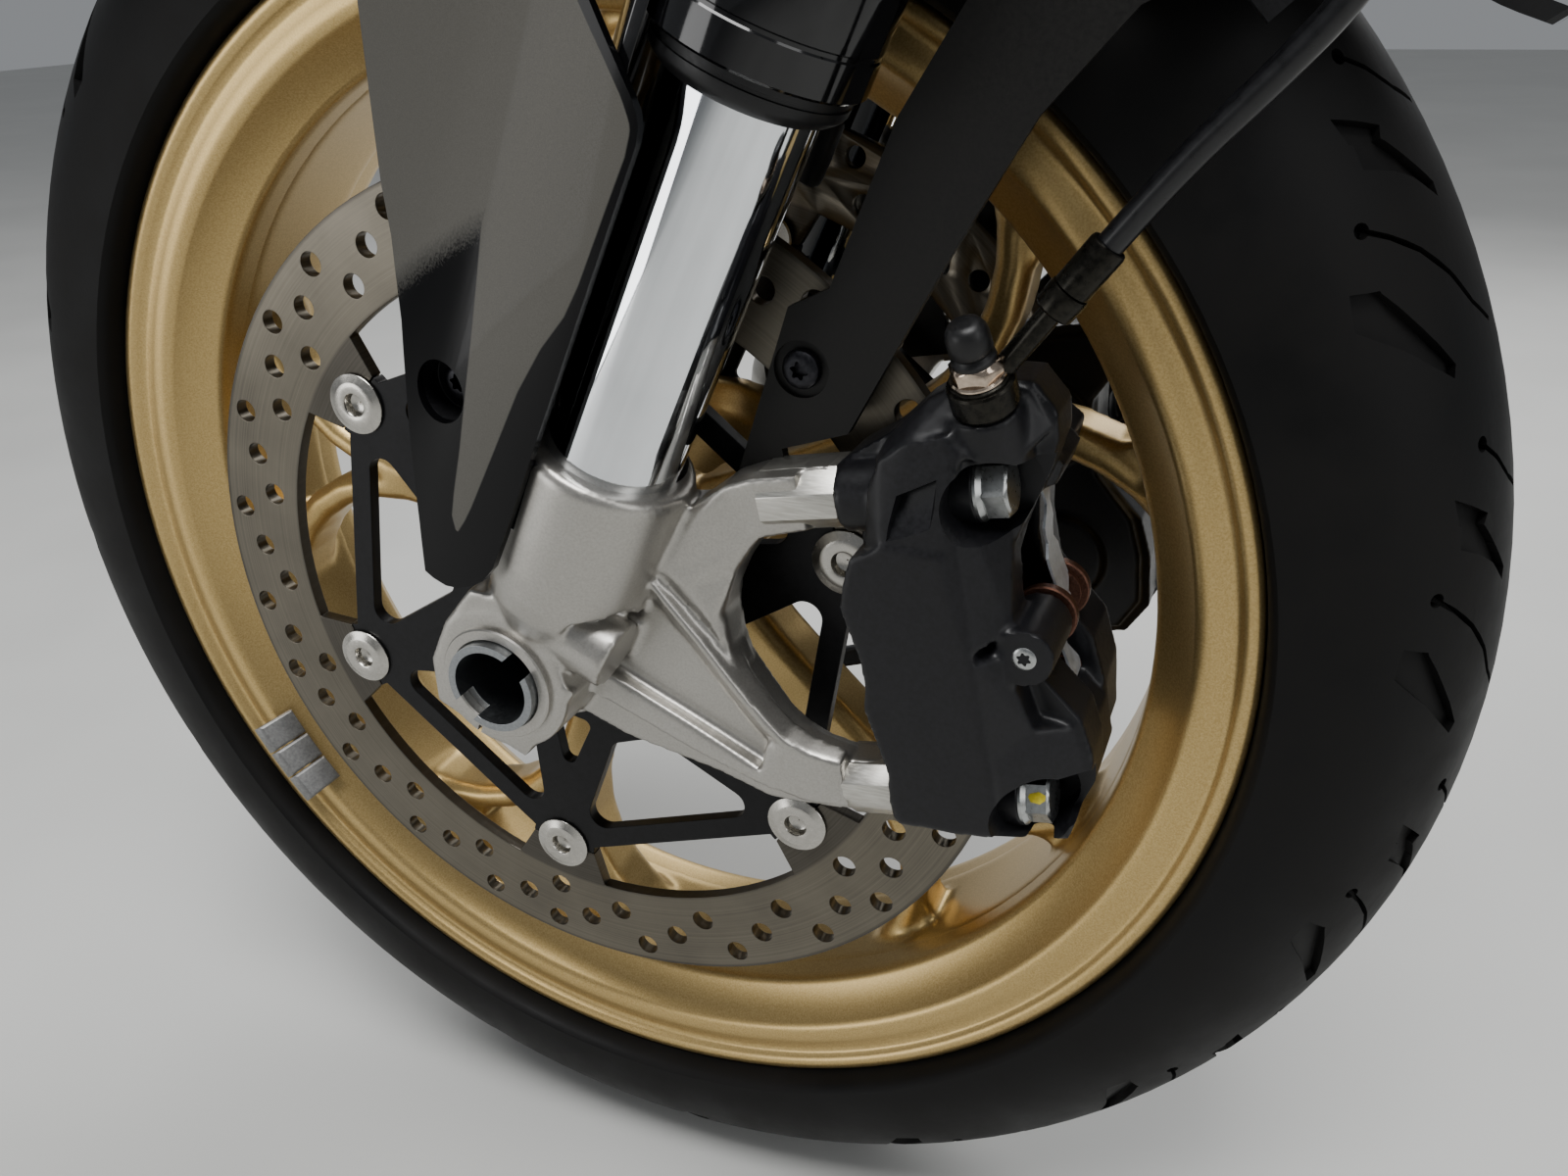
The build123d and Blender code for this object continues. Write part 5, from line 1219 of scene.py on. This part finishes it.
# Caliper's fittings, on its own line: bolts, pad pin, pistons and the sheet spring over the pads
fittingShape = {
    "start": 109.2,
    "bolt": [(0, 0), (0, 4.4), (0.6, 4.95), (54.5, 4.95), (54.5, 9.1), (54.9, 9.5), (55.8, 9.5),
        (57.1, 8.2), (57.2, 0)],
    "hex": (57, 7.5, 7), "turns": (12, 22),
    "dab": [(-2.8, -0.6), (-2.2, -1.6), (0.6, -2.3), (2.6, -1.2), (2.4, 0.4), (0.8, 1.5), (-2, 1)],
    "piston": [(0, 12), (0, 14.6), (0.4, 15), (1.6, 15), (1.8, 14.6), (2.6, 14.6), (2.8, 15), (5.5, 15),
        (5.9, 14.6), (5.9, 12.4), (5.4, 12)],
    "pistonAt": (145, 17),
    # the sheet's line, and its lobes: along the caliper, inboard and outboard edge
    "spring": [(172, 45), (175, 40), (175.2, 33), (174.6, 25), (175.4, 17), (177.2, 8), (177.2, 2),
        (174, -3), (173.4, -8), (175.6, -14), (178, -22), (174, -28)],
    "lobes": [(46, 66, 71), (40, 64.5, 72.5), (35, 66.5, 70.5), (29, 63, 74.5), (23, 65, 72),
        (19.5, 61.8, 75.4), (9, 61.8, 75.4), (5, 66, 71), (2, 62.5, 74.5), (-9, 62.5, 74.5), (-13, 66, 71),
        (-19, 63, 74), (-29, 66, 71)],
    "ear": [(0, 3.1), (0, 9.1), (0.4, 9.6), (2.9, 9.6), (3.3, 9.1), (3.3, 3.1)], "earsAt": (57.6, 76.6),
    "tab": [(164, -20), (175.6, -20.6), (177.4, -22), (177.4, -26), (175.6, -27), (164, -27)],
    "pinAt": (173, 3),
}


def makeFittings():
    shape = fittingShape
    way = awayAt(caliperAngle)
    along, apothem, height = shape["hex"]
    bolts = []
    for v, turn in zip((50, -50), shape["turns"]):
        start = onCaliper(shape["start"], v, 95)
        bolts.append(makeLathe("shank", start, way, shape["bolt"], 40))
        bolts.append(makeHexHead("hexHead", start + way * along * mm, way, apothem, height, turn))
    fitBoth(joinPieces("caliperBolts", bolts, 28), "fork", "bolt_zinc", "zinc", "caliper_bolts")
    # the fitter's dab of paint on the lower bolt's outboard flat
    square = way.orthogonal().normalized()
    flats = [Matrix.Rotation(radians(shape["turns"][1] + 30 + 60 * k), 3, way) @ square for k in range(6)]
    facing = max(flats, key=lambda flat: flat.dot(outboard))
    middle = onCaliper(shape["start"] + along + height / 2, -50, 95)
    across = way.cross(facing)
    dab = makeHull("paintDab", [middle + (facing * (apothem + lift) + way * run + across * over) * mm
                                for lift in (-0.05, 0.14) for run, over in shape["dab"]])
    roundEdges(dab, 0.06)
    fitPiece(dab, "fork", "bolt_zinc", "markPaint")
    inner, outer, seat = [onCaliper(*shape["pinAt"], out) for out in (46.5, 104, 103.5)]
    pin = [makeRod("pinShank", inner, outer, 3, sides=32), makeLobedHead("pinHead", seat, outboard, 4.5, 3.9)]
    fitBoth(joinPieces("padPin", pin, 30), "fork", "bolt_zinc", "zinc", "pad_pin")
    u, v = shape["pistonAt"]
    pistons = [makeLathe("piston", onCaliper(u, sign * v, start), direction, shape["piston"])
               for start, direction in ((58.4, -outboard), (78.6, outboard)) for sign in (1, -1)]
    fitBoth(joinPieces("caliperPistons", pistons, 30), "fork", "bobbin_alloy", "turned", "caliper_pistons")
    line = smoothLine(shape["spring"], 4)
    sheet = [onCaliper(u, v, 61) for u, v in line] + [onCaliper(u - 0.8, v, 61) for u, v in reversed(line)]
    spring = makePrism("padSpring", sheet, outboard * 0.016)
    lobes = [onCaliper(160, v, high) for v, low, high in shape["lobes"]]
    lobes += [onCaliper(160, v, low) for v, low, high in reversed(shape["lobes"])]
    keepWithin(spring, makePrism("lobes", lobes, way * 0.03))
    smoothShade(spring, 40)
    ears = []
    for start in shape["earsAt"]:
        ears.append(makeLathe("ear", onCaliper(*shape["pinAt"], start), outboard, shape["ear"], 40))
        tab = makePrism("tab", [onCaliper(u, v, start) for u, v in shape["tab"]], outboard * 0.0033)
        roundEdges(tab, 0.4)
        ears.append(tab)
    fitBoth(joinPieces("padEars", ears, 30), "fork", "pad_steel", "padMetal")
    fitBoth(spring, "fork", "pad_steel", "spring")


# Brake line on the caliper: eye, hollow bolt, pipe, crimped sleeve, rubber cap and hose
lineShape = {
    "eye": [(0, 0), (0, 7.6), (0.4, 8.2), (1, 8.2), (1.1, 8.9), (1.6, 9.2), (8.2, 9.2), (8.9, 8.8),
        (9, 8.2), (9.7, 8.2), (10, 7.8), (10, 0)],
    "flange": [(10, 0), (10, 7.4), (10.3, 7.7), (10.8, 7.7), (11.2, 7.2), (11.2, 0)],
    "hex": (11.1, 6.3, 4.2),
    "cap": [(14.4, 0), (14.4, 5.4), (14.9, 5.9), (16.4, 5.9), (17, 5.3), (17.6, 4.9), (18.2, 5.2),
        (19, 5.8), (22.8, 5.8), (24.6, 5.4), (26, 4.6), (26.8, 3.4), (27, 2.2), (27, 0)],
    "pipe": [(0, 0), (0, 3.1), (27.6, 3.1), (27.6, 0)],
    "collar": [(27.2, 0), (27.2, 3.6), (27.6, 4.9), (28.2, 5.4), (33.6, 5.5), (34.4, 5.2), (34.6, 4.4),
        (34.6, 0)],
    "sleeve": [(34.4, 0), (34.4, 4.4), (34.9, 5), (47.6, 5), (48.4, 4.7), (48.6, 4.2), (48.2, 3.6),
        (47, 3.5), (47, 0)],
    # the bolt and the eye lean outboard, in degrees; the pipe leaves the eye above the caliper's line
    "lean": 23, "pipeRise": 42.8, "eyeAt": (171, 80, 104),
    # the union under the yoke, and how far its port leans down
    "unionAt": (537, 52, 0), "portLean": 52,
    # to the rear of the axle, above it, outboard
    "route": [(214, 186, 105), (229, 204, 105), (243, 232, 104.5), (254, 267, 102), (262, 306, 97),
        (267, 346, 88), (269, 384, 74)],
    "hoseRadius": 3.6,
}


def makeBrakeLine():
    shape = lineShape
    lean, portLean = radians(shape["lean"]), radians(shape["portLean"])
    boltWay = (onCaliper(0, 1, 0) - hub).normalized() * cos(lean) + outboard * sin(lean)
    pipeWay = awayAt(caliperAngle + shape["pipeRise"])
    eye = onCaliper(*shape["eyeAt"])
    seat = eye - boltWay * 5 * mm
    banjo = [makeLathe("eye", seat, boltWay, shape["eye"])]
    banjo += [makeLathe(name, eye, pipeWay, shape[name], steps)
              for name, steps in (("pipe", 32), ("collar", 40), ("sleeve", 40))]
    fitBoth(joinPieces("hoseBanjo", banjo, 28), "fork", "black_anodised", "oliveSteel", "hose_banjo")
    along, apothem, height = shape["hex"]
    bolt = [makeLathe("flange", seat, boltWay, shape["flange"]),
            makeHexHead("hex", seat + boltWay * along * mm, boltWay, apothem, height, 14)]
    fitBoth(joinPieces("banjoBolt", bolt, 25), "fork", "bolt_zinc", "nickel")
    cap = makeLathe("bleedCap", seat, boltWay, shape["cap"])
    smoothShade(cap, 40)
    fitBoth(cap, "fork", "seal_rubber", "rubber", "bleed_nipple")
    # the hose, held by the sleeve below and by the union under the yoke
    portWay = (outboard * cos(portLean) - legUp * sin(portLean)).normalized()
    start = eye + pipeWay * 47 * mm
    end = upLeg(*shape["unionAt"]) + portWay * 22 * mm
    route = [start, start + pipeWay * 22.6 * mm] + [atAxle(*point) for point in shape["route"]]
    route += [end + portWay * 25 * mm, end]
    bpy.ops.curve.primitive_nurbs_path_add(location=(0, 0, 0))
    hose = bpy.context.object
    hose.name = "brakeHose"
    hose.data.splines.clear()
    spline = hose.data.splines.new("NURBS")
    spline.points.add(len(route) - 1)
    for point, place in zip(spline.points, route):
        point.co = (*place, 1)
    spline.order_u = 3
    spline.use_endpoint_u = True
    spline.resolution_u = 12
    hose.data.bevel_depth = shape["hoseRadius"] * mm
    hose.data.bevel_resolution = 7
    hose.data.use_fill_caps = True
    pick(hose)
    bpy.ops.object.convert(target="MESH")
    hose = bpy.context.object
    makeOutwards(hose)
    smoothShade(hose, 50)
    fitBoth(hose, "fork", "hose_rubber", "hose", "brake_hose")


# Tyre valve with its nut and cap, and the stick-on balance weights on the barrel
wheelTrim = {
    "valve": [(0.2, 0), (0.2, 8), (-1.4, 8), (-3, 7.3), (-5.6, 5.6), (-9, 4.6), (-18, 4.4), (-19, 4),
        (-19.2, 3.9), (-19.2, 0)],
    "cap": [(-19, 0), (-19, 4.4), (-20, 5), (-33, 5), (-40, 4.6), (-41.4, 4), (-42, 2.8), (-42, 0)],
    "valveAngle": 66, "barrel": 197.5,
    # degrees round the wheel, outboard
    "weights": [-150.4, -146.7, -143], "weightArc": 3.5, "weightOut": (46.6, 60.4),
    # height over the barrel, and how much the sides draw in there
    "weightSteps": [(0, 0), (3.2, 0), (4.2, 0.28)],
}


def makeWheelTrim():
    shape = wheelTrim
    way = awayAt(shape["valveAngle"])
    root = hub + way * shape["barrel"] * mm
    stem = makeLathe("valveStem", root, way, shape["valve"], 32)
    smoothShade(stem, 35)
    cap = makeLathe("valveCap", root, way, shape["cap"], 32)
    smoothShade(cap, 35)
    fitPiece(stem, "wheel", "seal_rubber", "rubber", "tyre_valve")
    fitPiece(cap, "wheel", "black_plastic", "plastic")
    half = shape["weightArc"] / 2
    low, high = shape["weightOut"]
    weights = []
    for middle in shape["weights"]:
        # the barrel widens towards the rim's edge
        weight = makeHull("weight", [turned(a, shape["barrel"] + max(0, out - 34) * 0.62 - r + 0.6, 0, out)
                                     for r, trim in shape["weightSteps"]
                                     for a in (middle - half + trim, middle, middle + half - trim)
                                     for out in (low + trim * 3, high - trim * 3)])
        bevelEdges(weight, 0.4, 25)
        weights.append(weight)
    fitPiece(joinPieces("balanceWeights", weights, 30), "wheel", "bobbin_alloy", "weight")


makeBobbins()
makeTubes()
print("bobbins and tubes made")
makeGuard()
makeMudguard()
makeStay()
print("guard, mudguard and stay made")
makeFittings()
makeBrakeLine()
makeWheelTrim()
print("fittings and brake lines made")
